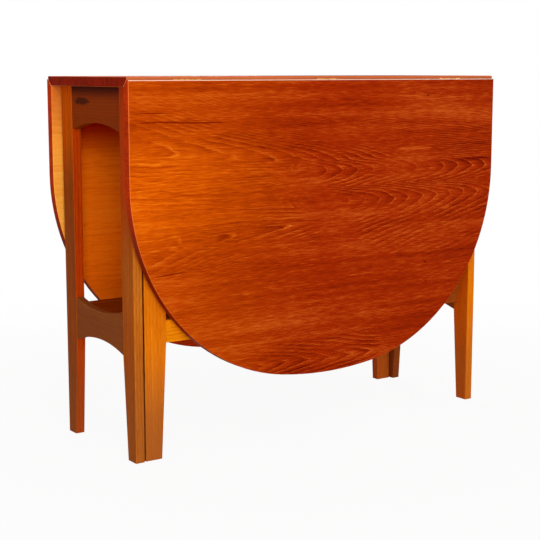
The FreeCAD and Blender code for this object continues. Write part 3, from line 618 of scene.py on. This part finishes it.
def rim_face(tree, tone, looks, rim_colour):
    """The colour of a rim, with dark rings and painted shade on its low side."""
    dark_rim = [part * DARK_RIM_SHARE for part in rim_colour[:3]] + [1]
    colour = mix_colours(tree, spread(tree, tone, *RIM_TONE), dark_rim, rim_colour)
    # Painted shade where the rim looks down.
    return mix_colours(tree, spread(tree, looks["Z"], *LOOKS_LOW), colour, SHADED_LOW_RIM)


print("rim ready")

# %% [markdown]
# Whole boards.
#
# Now the faces are put together. The slanted cut under the joint of top and leaf is raw wood, painted paler
# as a painted highlight. The soft corner between face and rim is worn pale and carries a painted highlight,
# most of all at the joint, where hands lift the leaf. The long sides of the top are rubbed paler and partly
# painted lighter as painted light. A leaf looks along Y, so its rim is all that looks elsewhere. The rims of
# the top are its two ends.

# %% Whole boards
LOOKS_OUT = (-0.6, -0.2)
LOOKS_BACK = (-0.3, -0.5)
LOOKS_ASLANT = (0.4, 0.6)
LOOKS_ALONG = (0.45, 0.72)
LOOKS_OFF = (0.72, 0.45)
# The raw wood of the slanted cut, painted paler as a painted highlight along the joint.
RAW_WOOD_AND_HIGHLIGHT = screen_colour(246, 178, 128)
# The long sides of the top: rubbed paler, and partly painted light where the lamp catches them.
RUBBED_AND_LIT_SIDE = screen_colour(208, 124, 78)
RUBBED_AND_LIT_SHARE = 0.55
# Pale worn corners, which also stand for a painted highlight along the eased edges.
WORN_ARRIS_AND_HIGHLIGHT = screen_colour(236, 116, 54)
ARRIS = (0.35, 0.60, 0.90, 0.98)
ARRIS_WEAR_AND_HIGHLIGHT = (-0.6, 0.3, 0.15, 0.95)
UPPER_ARRIS = (0.1, 0.3)


def board_finish(name, face, outward, rim_colour, upper_arris_highlight, figure):
    """A board: figured show face, plain inner face, darker rim, pale corners of wear and painted highlight.
    """
    material, tree, shader = new_material(name)
    space = grain_space(tree, "X", (0, 0, 0))
    show_colour, tone, pores = show_face(tree, space, figure)
    looks = facing(tree)
    outer = sums(tree, "MULTIPLY", looks[face], outward)
    sideways = sums(tree, "ABSOLUTE", looks["Y"])
    hangs = face == "Y"
    colour = mix_colours(tree, spread(tree, outer, *LOOKS_OUT), inner_face(tree, space), show_colour)
    lean = spread(tree, looks["Z"] if hangs else sideways, *LOOKS_ASLANT)
    slanted = sums(tree, "MULTIPLY", spread(tree, outer, *LOOKS_BACK), lean)
    # Raw wood under the joint, painted paler as a painted highlight.
    colour = mix_colours(tree, slanted, colour, RAW_WOOD_AND_HIGHLIGHT)
    if hangs:
        rim = spread(tree, sideways, *LOOKS_OFF)
    else:
        rim = spread(tree, sums(tree, "ABSOLUTE", looks["X"]), *LOOKS_ALONG)
        # Rubbed and painted lighter as painted light on the long sides of the top.
        rubbed_and_lit = spread(tree, sideways, *LOOKS_ALONG, 0.0, RUBBED_AND_LIT_SHARE)
        colour = mix_colours(tree, rubbed_and_lit, colour, RUBBED_AND_LIT_SIDE)
    colour = mix_colours(tree, rim, colour, rim_face(tree, tone, looks, rim_colour))
    # Worn corners that also carry a painted highlight.
    wear_and_highlight = sums(tree, "MULTIPLY", within(tree, outer, ARRIS), spread(tree, looks["Z"], *ARRIS_WEAR_AND_HIGHLIGHT))
    arris_wear_and_highlight = mix_colours(tree, spread(tree, looks["Z"], *UPPER_ARRIS), WORN_ARRIS_AND_HIGHLIGHT, upper_arris_highlight)
    finish_wood(tree, shader, mix_colours(tree, wear_and_highlight, colour, arris_wear_and_highlight), pores)
    return material


print("board helpers ready")

# %% [markdown]
# Three boards.
#
# Each board has its own heart line, nest and marks. A figure says which axis crosses the heart line and where
# the line lies, which way the arches point, and how far the figure is moved along the board. Places of the
# nest and the marks are measured along the heart line and across it.

# %% Leaf and top finishes
LEAF_RIM = screen_colour(216, 58, 2)
BOARD_END = screen_colour(154, 30, 2)
# The pale corner of a leaf at the joint: partly wear, partly a painted highlight.
PALE_ARRIS_HIGHLIGHT = screen_colour(255, 222, 198)
FRONT_MARKS = [
    (-0.345, 0.1355, 0.12, 0.002, -0.8), (-0.41, 0.153, 0.05, 0.0014, -0.6),
    (-0.375, -0.152, 0.04, 0.002, -0.8), (0.265, 0.1805, 0.003, 0.0026, -0.7),
    (0.265, -0.177, 0.003, 0.0026, -0.7), (0.2675, -0.2195, 0.0026, 0.0022, -0.7),
    (0.23, 0.073, 0.06, 0.005, 0.25), (-0.40, 0.06, 0.07, 0.004, 0.2),
    (0.40, 0.045, 0.05, 0.003, -0.4), (-0.367, -0.082, 0.016, 0.003, 0.22),
    (-0.352, -0.09, 0.006, 0.007, 0.2), (-0.366, -0.102, 0.014, 0.004, 0.24),
]
REAR_MARKS = [
    (0.3, 0.16, 0.09, 0.0014, -0.5), (-0.2, -0.12, 0.003, 0.0025, -0.7), (0.1, -0.2, 0.06, 0.002, -0.4),
]
TOP_MARKS = [(-0.25, 0.09, 0.1, 0.0014, -0.5), (0.3, -0.1, 0.003, 0.0026, -0.7)]
FRONT_FIGURE = {
    "across": "Z", "heart": 0.514, "points": 1.0, "shift": 0.0, "nest": (0.0, -0.352), "marks": FRONT_MARKS,
}
REAR_FIGURE = {
    "across": "Z", "heart": 0.455, "points": -1.0, "shift": 0.05, "nest": (-0.12, -0.24), "marks": REAR_MARKS,
}
TOP_FIGURE = {
    "across": "Y", "heart": 0.03, "points": 1.0, "shift": -0.08, "nest": (-0.35, -0.12), "marks": TOP_MARKS,
}
finishes = {
    "front_leaf": board_finish("teak_front_leaf", "Y", -1.0, LEAF_RIM, PALE_ARRIS_HIGHLIGHT, FRONT_FIGURE),
    "rear_leaf": board_finish("teak_rear_leaf", "Y", 1.0, LEAF_RIM, PALE_ARRIS_HIGHLIGHT, REAR_FIGURE),
    "top_board": board_finish("teak_top", "Z", 1.0, BOARD_END, WORN_ARRIS_AND_HIGHLIGHT, TOP_FIGURE),
}
print("board finishes:", ", ".join(finishes))

# %% [markdown]
# The wood of the frame.
#
# Legs, rails and gates are solid teak of a browner, more golden kind than the boards. The pieces weren't cut
# from one plank, so some are darker or redder. The rear stretcher and the upper rails are also darkened as
# painted shade inside the frame and under the top. The rear legs are redder near the top. A piece has its own
# wood, and a list of changes, each by height or by the direction the surface looks in. Most of these are
# painted light and shade: sides that face the lamps are painted golden and brighter, sides turned away and
# the facing sides of narrow gaps are painted darker as shade, the front left leg is darker near the top as a
# painted shadow of the leaf, and the upper rails carry painted shade close under the top.

# %% Frame colours
LEG_COLOURS = shades((196, 112, 36), (170, 78, 15), (121, 48, 8))
# Painted light on the sides that face the lamps.
GOLDEN_LIT_COLOURS = shades((218, 142, 50), (188, 102, 25), (134, 62, 11))
BROWN_COLOURS = shades((179, 103, 36), (155, 69, 16), (111, 44, 8))
RED_COLOURS = shades((218, 111, 19), (202, 84, 2), (149, 50, 1))
# Painted shade on sides turned away from the lamps and under the leaf.
RUSSET_SHADE_COLOURS = shades((212, 88, 17), (189, 60, 4), (141, 37, 2))
GATE_COLOURS = shades((236, 146, 32), (216, 110, 6), (174, 74, 3))
# The dark wood of the upper rails, also used as painted shade.
UPPER_RAIL_AND_SHADE_COLOURS = shades((160, 74, 8), (137, 49, 1), (99, 30, 0))
SHADED_COLOURS = shades((86, 27, 3), (71, 15, 1), (49, 8, 0))
# Painted light on the lit front of the gate's lower rail.
HONEY_LIT_COLOURS = shades((250, 170, 40), (240, 140, 6), (198, 98, 4))
LOWER_COLOURS = shades((162, 93, 42), (132, 65, 24), (95, 43, 13))
# The rear stretcher is dark as painted shade inside the frame.
WOODS = {
    "left_upper_rail": UPPER_RAIL_AND_SHADE_COLOURS, "right_upper_rail": UPPER_RAIL_AND_SHADE_COLOURS, "rear_stretcher": UPPER_RAIL_AND_SHADE_COLOURS,
    "left_lower_rail": LOWER_COLOURS, "right_lower_rail": LOWER_COLOURS, "front_stretcher": BROWN_COLOURS,
    "left_rear_leg": BROWN_COLOURS, "right_rear_leg": BROWN_COLOURS, "right_front_leg": RED_COLOURS,
}
FRONT_SIDE = ("Y", -0.3, -0.7)
LEFT_SIDE = ("X", -0.3, -0.7)
RIGHT_SIDE = ("X", 0.3, 0.7)
# Painted shade on the facing sides of narrow gaps.
SHADE_IN_GAP_ON_LEFT = ("X", -0.2, -0.6)
SHADE_IN_GAP_ON_RIGHT = ("X", 0.2, 0.6)
# Painted shadow of the leaf on the upper part of the front left leg.
LEAF_SHADOW_ON_FRONT_LEG = ("height", 0.38, 0.55)
REAR_LEG_TOP = ("height", 0.5, 0.64)
# Painted shade close under the top.
SHADE_UNDER_BOARD = ("height", 0.688, 0.714)
# Most of these changes are painted light and shade, by the direction a side looks in or by height.
CHANGES = {
    "left_front_leg": [
        (FRONT_SIDE, GOLDEN_LIT_COLOURS), (LEAF_SHADOW_ON_FRONT_LEG, RUSSET_SHADE_COLOURS), (SHADE_IN_GAP_ON_RIGHT, UPPER_RAIL_AND_SHADE_COLOURS),
    ],
    "right_front_leg": [(RIGHT_SIDE, GATE_COLOURS), (FRONT_SIDE, GATE_COLOURS)],
    "left_rear_leg": [(REAR_LEG_TOP, RED_COLOURS), (FRONT_SIDE, RUSSET_SHADE_COLOURS)],
    "right_rear_leg": [(REAR_LEG_TOP, RED_COLOURS), (LEFT_SIDE, UPPER_RAIL_AND_SHADE_COLOURS), (FRONT_SIDE, UPPER_RAIL_AND_SHADE_COLOURS)],
    "front_gate_leg": [(SHADE_IN_GAP_ON_LEFT, UPPER_RAIL_AND_SHADE_COLOURS)],
    "rear_gate_leg": [(FRONT_SIDE, RED_COLOURS), (LEFT_SIDE, RUSSET_SHADE_COLOURS), (SHADE_IN_GAP_ON_RIGHT, UPPER_RAIL_AND_SHADE_COLOURS)],
    "front_gate_lower_rail": [(FRONT_SIDE, HONEY_LIT_COLOURS)],
    "left_upper_rail": [(SHADE_UNDER_BOARD, SHADED_COLOURS)],
    "right_upper_rail": [(SHADE_UNDER_BOARD, SHADED_COLOURS)],
}
print(len(WOODS), "pieces have a wood of their own,", len(CHANGES), "change colour")

# %% [markdown]
# The finish of the frame.
#
# The grain runs along the piece: up the legs and stiles, along the rails. The legs turn browner near the
# floor, and every corner is rubbed a little paler.

# %% Frame finish
FRAME_RINGS = 150.0
FRAME_STRENGTH = 0.6
FOOT_WOOD = screen_colour(150, 82, 36)
FOOT_HEIGHT = (0.26, 0.04)
CORNER = (0.92, 0.80, 0.0, 0.8)
CORNER_PORES = (0.3, 0.6)


def worn_edges(tree, pores):
    """A share of paler wood where the surface turns a corner, broken up by the pores."""
    looks = [sums(tree, "ABSOLUTE", side) for side in facing(tree)]
    squarely = sums(tree, "MAXIMUM", sums(tree, "MAXIMUM", looks[0], looks[1]), looks[2])
    return sums(tree, "MULTIPLY", spread(tree, squarely, *CORNER), spread(tree, pores, *CORNER_PORES))


def frame_finish(name, grain, shift, colours, foot_share, depth, changes):
    """Solid teak with straight grain along the piece, browner near the floor."""
    material, tree, shader = new_material(name)
    space = grain_space(tree, grain, shift)
    rings = straight_height(tree, space, FRAME_RINGS)
    tone, pores = teak_tone(tree, space, [(rings, FRAME_STRENGTH)], depth)
    colour = coloured(tree, tone, colours)
    place = add_box(tree, "SeparateXYZ", Vector=add_box(tree, "TexCoord").outputs["Object"])
    looks = facing(tree)
    measures = {"height": place.outputs["Z"], "X": looks["X"], "Y": looks["Y"]}
    for (measure, start, end), other_colours in changes:
        share = spread(tree, measures[measure], start, end)
        colour = mix_colours(tree, share, colour, coloured(tree, tone, other_colours))
    near_floor = spread(tree, measures["height"], *FOOT_HEIGHT, 0.0, foot_share)
    colour = mix_colours(tree, near_floor, colour, FOOT_WOOD)
    colour = mix_colours(tree, worn_edges(tree, pores), colour, colours[0])
    finish_wood(tree, shader, colour, pores)
    return material


print("frame finish ready")

# %% [markdown]
# Dressing the frame.
#
# Each piece is moved to its own place in the figure, so no two of them repeat. The end rails have a calmer
# grain than the rest, and the foot of the front gate's leg is the brownest.

# %% Frame pieces
CALM_PIECES = ("left_upper_rail", "right_upper_rail", "left_lower_rail", "right_lower_rail")
CALM_DEPTH = 0.4
FRAME_DEPTH = 0.7
FOOT_SHARE = 0.4
BROWNEST_FOOT_SHARE = 0.75
SHIFT_STEP = Vector((0.37, 0.53, 0.71))
WOODEN = [n for n in nodes if n.endswith(("_leg", "_rail", "_stile", "_stretcher", "_stop", "_blocks"))]


def grain_of(node):
    """The grain runs along the longest side of a piece."""
    low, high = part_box(node)
    sides = high - low
    return "XYZ"[max(range(3), key=lambda axis: sides[axis])]


for place, node in enumerate(sorted(WOODEN)):
    colours = GATE_COLOURS if "gate" in node else WOODS.get(node, LEG_COLOURS)
    foot_share = BROWNEST_FOOT_SHARE if node == "front_gate_leg" else FOOT_SHARE
    depth = CALM_DEPTH if node in CALM_PIECES else FRAME_DEPTH
    finishes[node] = frame_finish(
        "teak_" + node, grain_of(node), SHIFT_STEP * place, colours, foot_share, depth, CHANGES.get(node, []),
    )
print(len(finishes), "wood finishes")

# %% [markdown]
# An old stain.
#
# On the outside of the left upper rail sits an old dark stain. It is an oval around a point, and a blotchy
# noise breaks its edge. It goes between the colour of the finished rail and its shader.

# %% Stain
STAIN_MIDDLE = (-0.4377, 0.056, 0.6865)
STAIN_REACH = (0.02, 0.034, 0.0075)
STAIN_COLOUR = screen_colour(58, 14, 3)
STAIN_EDGE = (1.7, 1.2, 0.0, 0.85)
BLOT_SCALE = 2.2
BLOT_WEIGHT = 1.1

tree = finishes["left_upper_rail"].node_tree
rail_colour = tree.nodes["Principled BSDF"].inputs["Base Color"]
place = add_box(tree, "TexCoord").outputs["Object"]
scale = [1 / reach for reach in STAIN_REACH]
shift = [-middle / reach for middle, reach in zip(STAIN_MIDDLE, STAIN_REACH)]
oval = add_box(tree, "Mapping", Vector=place, Location=shift, Scale=scale).outputs["Vector"]
blots = add_box(tree, "TexNoise", Vector=oval, Scale=BLOT_SCALE, Detail=3.0).outputs["Fac"]
edge = sums(tree, "MULTIPLY_ADD", blots, BLOT_WEIGHT, length_of(tree, oval))
plain = rail_colour.links[0].from_socket
stained = mix_colours(tree, spread(tree, edge, *STAIN_EDGE), plain, STAIN_COLOUR)
tree.links.new(stained, rail_colour)
print("stain at", STAIN_MIDDLE)

# %% [markdown]
# Pegs and metal.
#
# The dowels that hold the joints are plain beech. The hinges are bright brass that has browned in patches and
# shines where it is rubbed, and the screws are plated steel. None of them is one colour all over, so a soft
# noise moves both the colour and the roughness.

# %% Peg and metal finishes
BEECH_PALE = screen_colour(226, 190, 140)
BEECH_DARK = screen_colour(196, 150, 98)
BRASS_BRIGHT = screen_colour(226, 168, 92)
BRASS_BROWN = screen_colour(186, 118, 58)
STEEL_BRIGHT = screen_colour(186, 182, 172)
STEEL_GREY = screen_colour(126, 122, 114)
PATCH_TONE = (0.35, 0.65)
PATCH_DULLNESS = (0.3, 0.7)
PATCH_ROUGHER = 0.2


def mottled_finish(name, bright, dull, scale, metallic, roughness):
    """A finish that shifts between two tones in soft patches."""
    material, tree, shader = new_material(name)
    place = add_box(tree, "TexCoord").outputs["Object"]
    patches = add_box(tree, "TexNoise", Vector=place, Scale=scale, Detail=4.0).outputs["Fac"]
    colour = mix_colours(tree, spread(tree, patches, *PATCH_TONE), bright, dull)
    dullness = spread(tree, patches, *PATCH_DULLNESS, roughness, roughness + PATCH_ROUGHER)
    tree.links.new(colour, shader.inputs["Base Color"])
    tree.links.new(dullness, shader.inputs["Roughness"])
    shader.inputs["Metallic"].default_value = metallic
    return material


beech = mottled_finish("beech_dowels", BEECH_PALE, BEECH_DARK, scale=90.0, metallic=0.0, roughness=0.55)
brass = mottled_finish("hinge_brass", BRASS_BRIGHT, BRASS_BROWN, scale=160.0, metallic=1.0, roughness=0.36)
steel = mottled_finish("screw_steel", STEEL_BRIGHT, STEEL_GREY, scale=400.0, metallic=1.0, roughness=0.3)
for node in nodes:
    if node.endswith("_dowels"):
        finishes[node] = beech
    elif node.endswith(("_plates", "_pins")):
        finishes[node] = brass
    elif node.endswith("_screws"):
        finishes[node] = steel
for node, piece in nodes.items():
    piece.data.materials.clear()
    piece.data.materials.append(finishes[node])
print("every node has a finish:", len(finishes) == len(nodes))

# %% [markdown]
# Slotted screws.
#
# The hinges and the small stops under the leaves are held by countersunk screws with one straight slot, as
# they were made before cross heads took over. One screw is modelled: a flat round head is extruded into a
# cone and a shank, its top is cut along two lines, and the strip between them is pushed in.

# %% Screw model
HEAD_RADIUS = 0.0023
HEAD_SIDES = 24
HEAD_DEPTH = 0.0012
SHANK_RADIUS = 0.0012
SHANK_LENGTH = 0.0088
TIP_LENGTH = 0.001
TIP_SHARE = 0.2
SLOT_WIDTH = 0.0008
SLOT_DEPTH = 0.0006
SLOT_FLOOR_SHARE = 0.7
LOOKS_UP = 0.9


def pick_faces(piece, test):
    """In edit mode, selects only the faces that pass a test."""
    bpy.ops.mesh.select_all(action="DESELECT")
    bpy.ops.object.mode_set(mode="OBJECT")
    for face in piece.data.polygons:
        face.select = test(face)
    bpy.ops.object.mode_set(mode="EDIT")


def push(depth, taper=(1, 1, 1)):
    """Extrudes the selected faces down by a depth and narrows their end."""
    bpy.ops.mesh.extrude_region_move(TRANSFORM_OT_translate={"value": (0, 0, -depth)})
    bpy.ops.transform.resize(value=taper)


bpy.ops.object.select_all(action="DESELECT")
bpy.ops.mesh.primitive_circle_add(
    vertices=HEAD_SIDES, radius=HEAD_RADIUS, fill_type="NGON", location=(0, 0, 0),
)
screw = bpy.context.object
bpy.ops.object.mode_set(mode="EDIT")
neck_share = SHANK_RADIUS / HEAD_RADIUS
push(HEAD_DEPTH, (neck_share, neck_share, 1))
push(SHANK_LENGTH)
push(TIP_LENGTH, (TIP_SHARE, TIP_SHARE, 1))
bpy.ops.mesh.select_all(action="SELECT")
bpy.ops.mesh.normals_make_consistent(inside=False)
for side in (-1, 1):
    pick_faces(screw, lambda face: face.normal.z > LOOKS_UP)
    bpy.ops.mesh.bisect(plane_co=(0, side * SLOT_WIDTH / 2, 0), plane_no=(0, 1, 0))
pick_faces(screw, lambda face: face.normal.z > LOOKS_UP and abs(face.center.y) < SLOT_WIDTH / 4)
push(SLOT_DEPTH, (SLOT_FLOOR_SHARE, 1, 1))
bpy.ops.object.mode_set(mode="OBJECT")
print("one screw:", len(screw.data.polygons), "faces")

# %% [markdown]
# Where the screws go.
#
# A set of screws has one driving direction. The points that lie furthest back along it are the rims of the
# heads, and points of one rim are closer together than those of two. The leaf hinges lie in the slanted cut
# under the joint, so their screws are driven at its slant.

# %% Screw places
UNDERCUT_RUN = 0.0136
UNDERCUT_RISE = 0.0134
SLANT = math.atan2(UNDERCUT_RISE, UNDERCUT_RUN)
DRIVEN = {
    "board_hinge_screws": (0, -math.sin(SLANT), math.cos(SLANT)),
    "leaf_hinge_screws": (0, math.cos(SLANT), -math.sin(SLANT)),
    "gate_fixed_screws": (0, -1, 0),
    "gate_moving_screws": (0, 1, 0),
    "gate_stop_screws": (0, 1, 0),
}
RIM_SLACK = HEAD_DEPTH / 10
RIM_REACH = 2.2 * HEAD_RADIUS


def head_middles(node, direction):
    """The middle of every head in a set of screws."""
    points = [vertex.co.copy() for vertex in nodes[node].data.vertices]
    back = min(point.dot(direction) for point in points)
    rims = []
    for point in points:
        if point.dot(direction) - back > RIM_SLACK:
            continue
        for rim in rims:
            if (rim[0] - point).length < RIM_REACH:
                rim.append(point)
                break
        else:
            rims.append([point])
    lows = [Vector([min(p[axis] for p in rim) for axis in range(3)]) for rim in rims]
    highs = [Vector([max(p[axis] for p in rim) for axis in range(3)]) for rim in rims]
    return [(low + high) / 2 for low, high in zip(lows, highs)]


print("screws are driven at a slant of", round(math.degrees(SLANT), 1), "degrees")

# %% [markdown]
# Copies of the screw.
#
# The front half of the table is the rear half turned round, so its directions are turned as well. Each copy
# is turned about its own axis by another amount, because nobody lines up slots by hand under a table. The
# copies of a set are joined into one piece, which stands for the CAD screws and rides where they ride.

# %% Screw copies
TURN_STEP = math.radians(47)

screw_count = 0
for half, turn in (("rear_", 0), ("front_", math.pi)):
    for ending, driven in DRIVEN.items():
        node = half + ending
        direction = Matrix.Rotation(turn, 3, "Z") @ Vector(driven)
        upright = direction.to_track_quat("-Z", "Y").to_matrix().to_4x4()
        bpy.ops.object.select_all(action="DESELECT")
        for middle in head_middles(node, direction):
            copy = screw.copy()
            copy.data = screw.data.copy()
            turned = Matrix.Rotation(TURN_STEP * screw_count, 4, "Z")
            copy.data.transform(Matrix.Translation(middle) @ upright @ turned)
            bpy.context.collection.objects.link(copy)
            copy.select_set(True)
            bpy.context.view_layer.objects.active = copy
            screw_count += 1
        bpy.ops.object.join()
        slotted = bpy.context.object
        slotted.name = half + "slotted_" + ending
        slotted.data.materials.append(steel)
        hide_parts(node)
        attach(slotted, body_of(nodes[node])[0])
bpy.data.objects.remove(screw)
print(screw_count, "slotted screws")

# %% [markdown]
# Floor.
#
# The floor is a large plane that carries the table's soft shadow. For the camera it is mostly plain white,
# and wholly white a few steps away, so that it melts into the white room behind. For the light that falls on
# the table it is a pale matt surface.

# %% Floor
FLOOR_SIZE = 40
FLOOR_SHADE = (0.82, 0.82, 0.82, 1)
WHITE = (1, 1, 1, 1)
WHITENESS = (0.5, 1.8, 0.92, 1.0)


def seen_directly(tree):
    """1 for rays that the camera, a mirror or glass sends, and 0 for the light that falls on things."""
    paths = add_box(tree, "LightPath").outputs
    direct = sums(tree, "MAXIMUM", paths["Is Camera Ray"], paths["Is Glossy Ray"])
    return sums(tree, "MAXIMUM", direct, paths["Is Transmission Ray"])


bpy.ops.object.select_all(action="DESELECT")
bpy.ops.mesh.primitive_plane_add(size=FLOOR_SIZE, location=(0, 0, 0))
floor = bpy.context.object
floor.name = "floor"
floor_material, tree, shader = new_material("pale_floor")
tree.nodes.remove(shader)
matt = add_box(tree, "BsdfDiffuse", Color=FLOOR_SHADE)
glow = add_box(tree, "Emission", Color=WHITE, Strength=1.0)
distance = length_of(tree, add_box(tree, "TexCoord").outputs["Object"])
white_share = sums(tree, "MULTIPLY", seen_directly(tree), spread(tree, distance, *WHITENESS))
mixed = add_box(tree, "MixShader", Fac=white_share)
tree.links.new(matt.outputs[0], mixed.inputs[1])
tree.links.new(glow.outputs[0], mixed.inputs[2])
tree.links.new(mixed.outputs[0], tree.nodes["Material Output"].inputs["Surface"])
floor.data.materials.append(floor_material)
print("floor of", FLOOR_SIZE, "metres")

# %% [markdown]
# White room.
#
# The room around the table is white wherever it is seen, directly or in metal. Its light on the table is
# weaker than that, so that the lamps can shape the table.

# %% Room
ROOM_STRENGTH = 0.42

room = bpy.data.worlds.new("white_room")
bpy.context.scene.world = room
room.use_nodes = True
tree = room.node_tree
strength = spread(tree, seen_directly(tree), 0.0, 1.0, ROOM_STRENGTH, 1.0)
backdrop = tree.nodes["Background"]
backdrop.inputs["Color"].default_value = WHITE
tree.links.new(strength, backdrop.inputs["Strength"])
print("white room ready")

# %% [markdown]
# Lights.
#
# One large soft lamp, in front of the table and above the camera, does most of the work: it lights the leaf
# evenly and slips past its edge onto the inner face of the far leaf. A weaker one from the right keeps the
# far legs from going grey, and one behind the table does the same for the rear leaf. The left end of the
# table stays in half shade.

# %% Lights
TABLE_MIDDLE = Vector((0, 0, 0.4))


def soft_lamp(name, place, size, power):
    """A square lamp that looks at the middle of the table."""
    bpy.ops.object.select_all(action="DESELECT")
    bpy.ops.object.light_add(type="AREA", location=place)
    lamp = bpy.context.object
    lamp.name = name
    lamp.rotation_euler = (TABLE_MIDDLE - Vector(place)).to_track_quat("-Z", "Y").to_euler()
    lamp.data.size = size
    lamp.data.energy = power


soft_lamp("front_lamp", place=(-1.5, -3.05, 1.5), size=2.2, power=77)
soft_lamp("right_lamp", place=(2.6, -2.2, 1.4), size=1.6, power=20)
soft_lamp("rear_lamp", place=(1.2, 3.2, 1.5), size=1.6, power=32)
bpy.context.scene.view_settings.view_transform = "Standard"
print("three lamps and an even room")
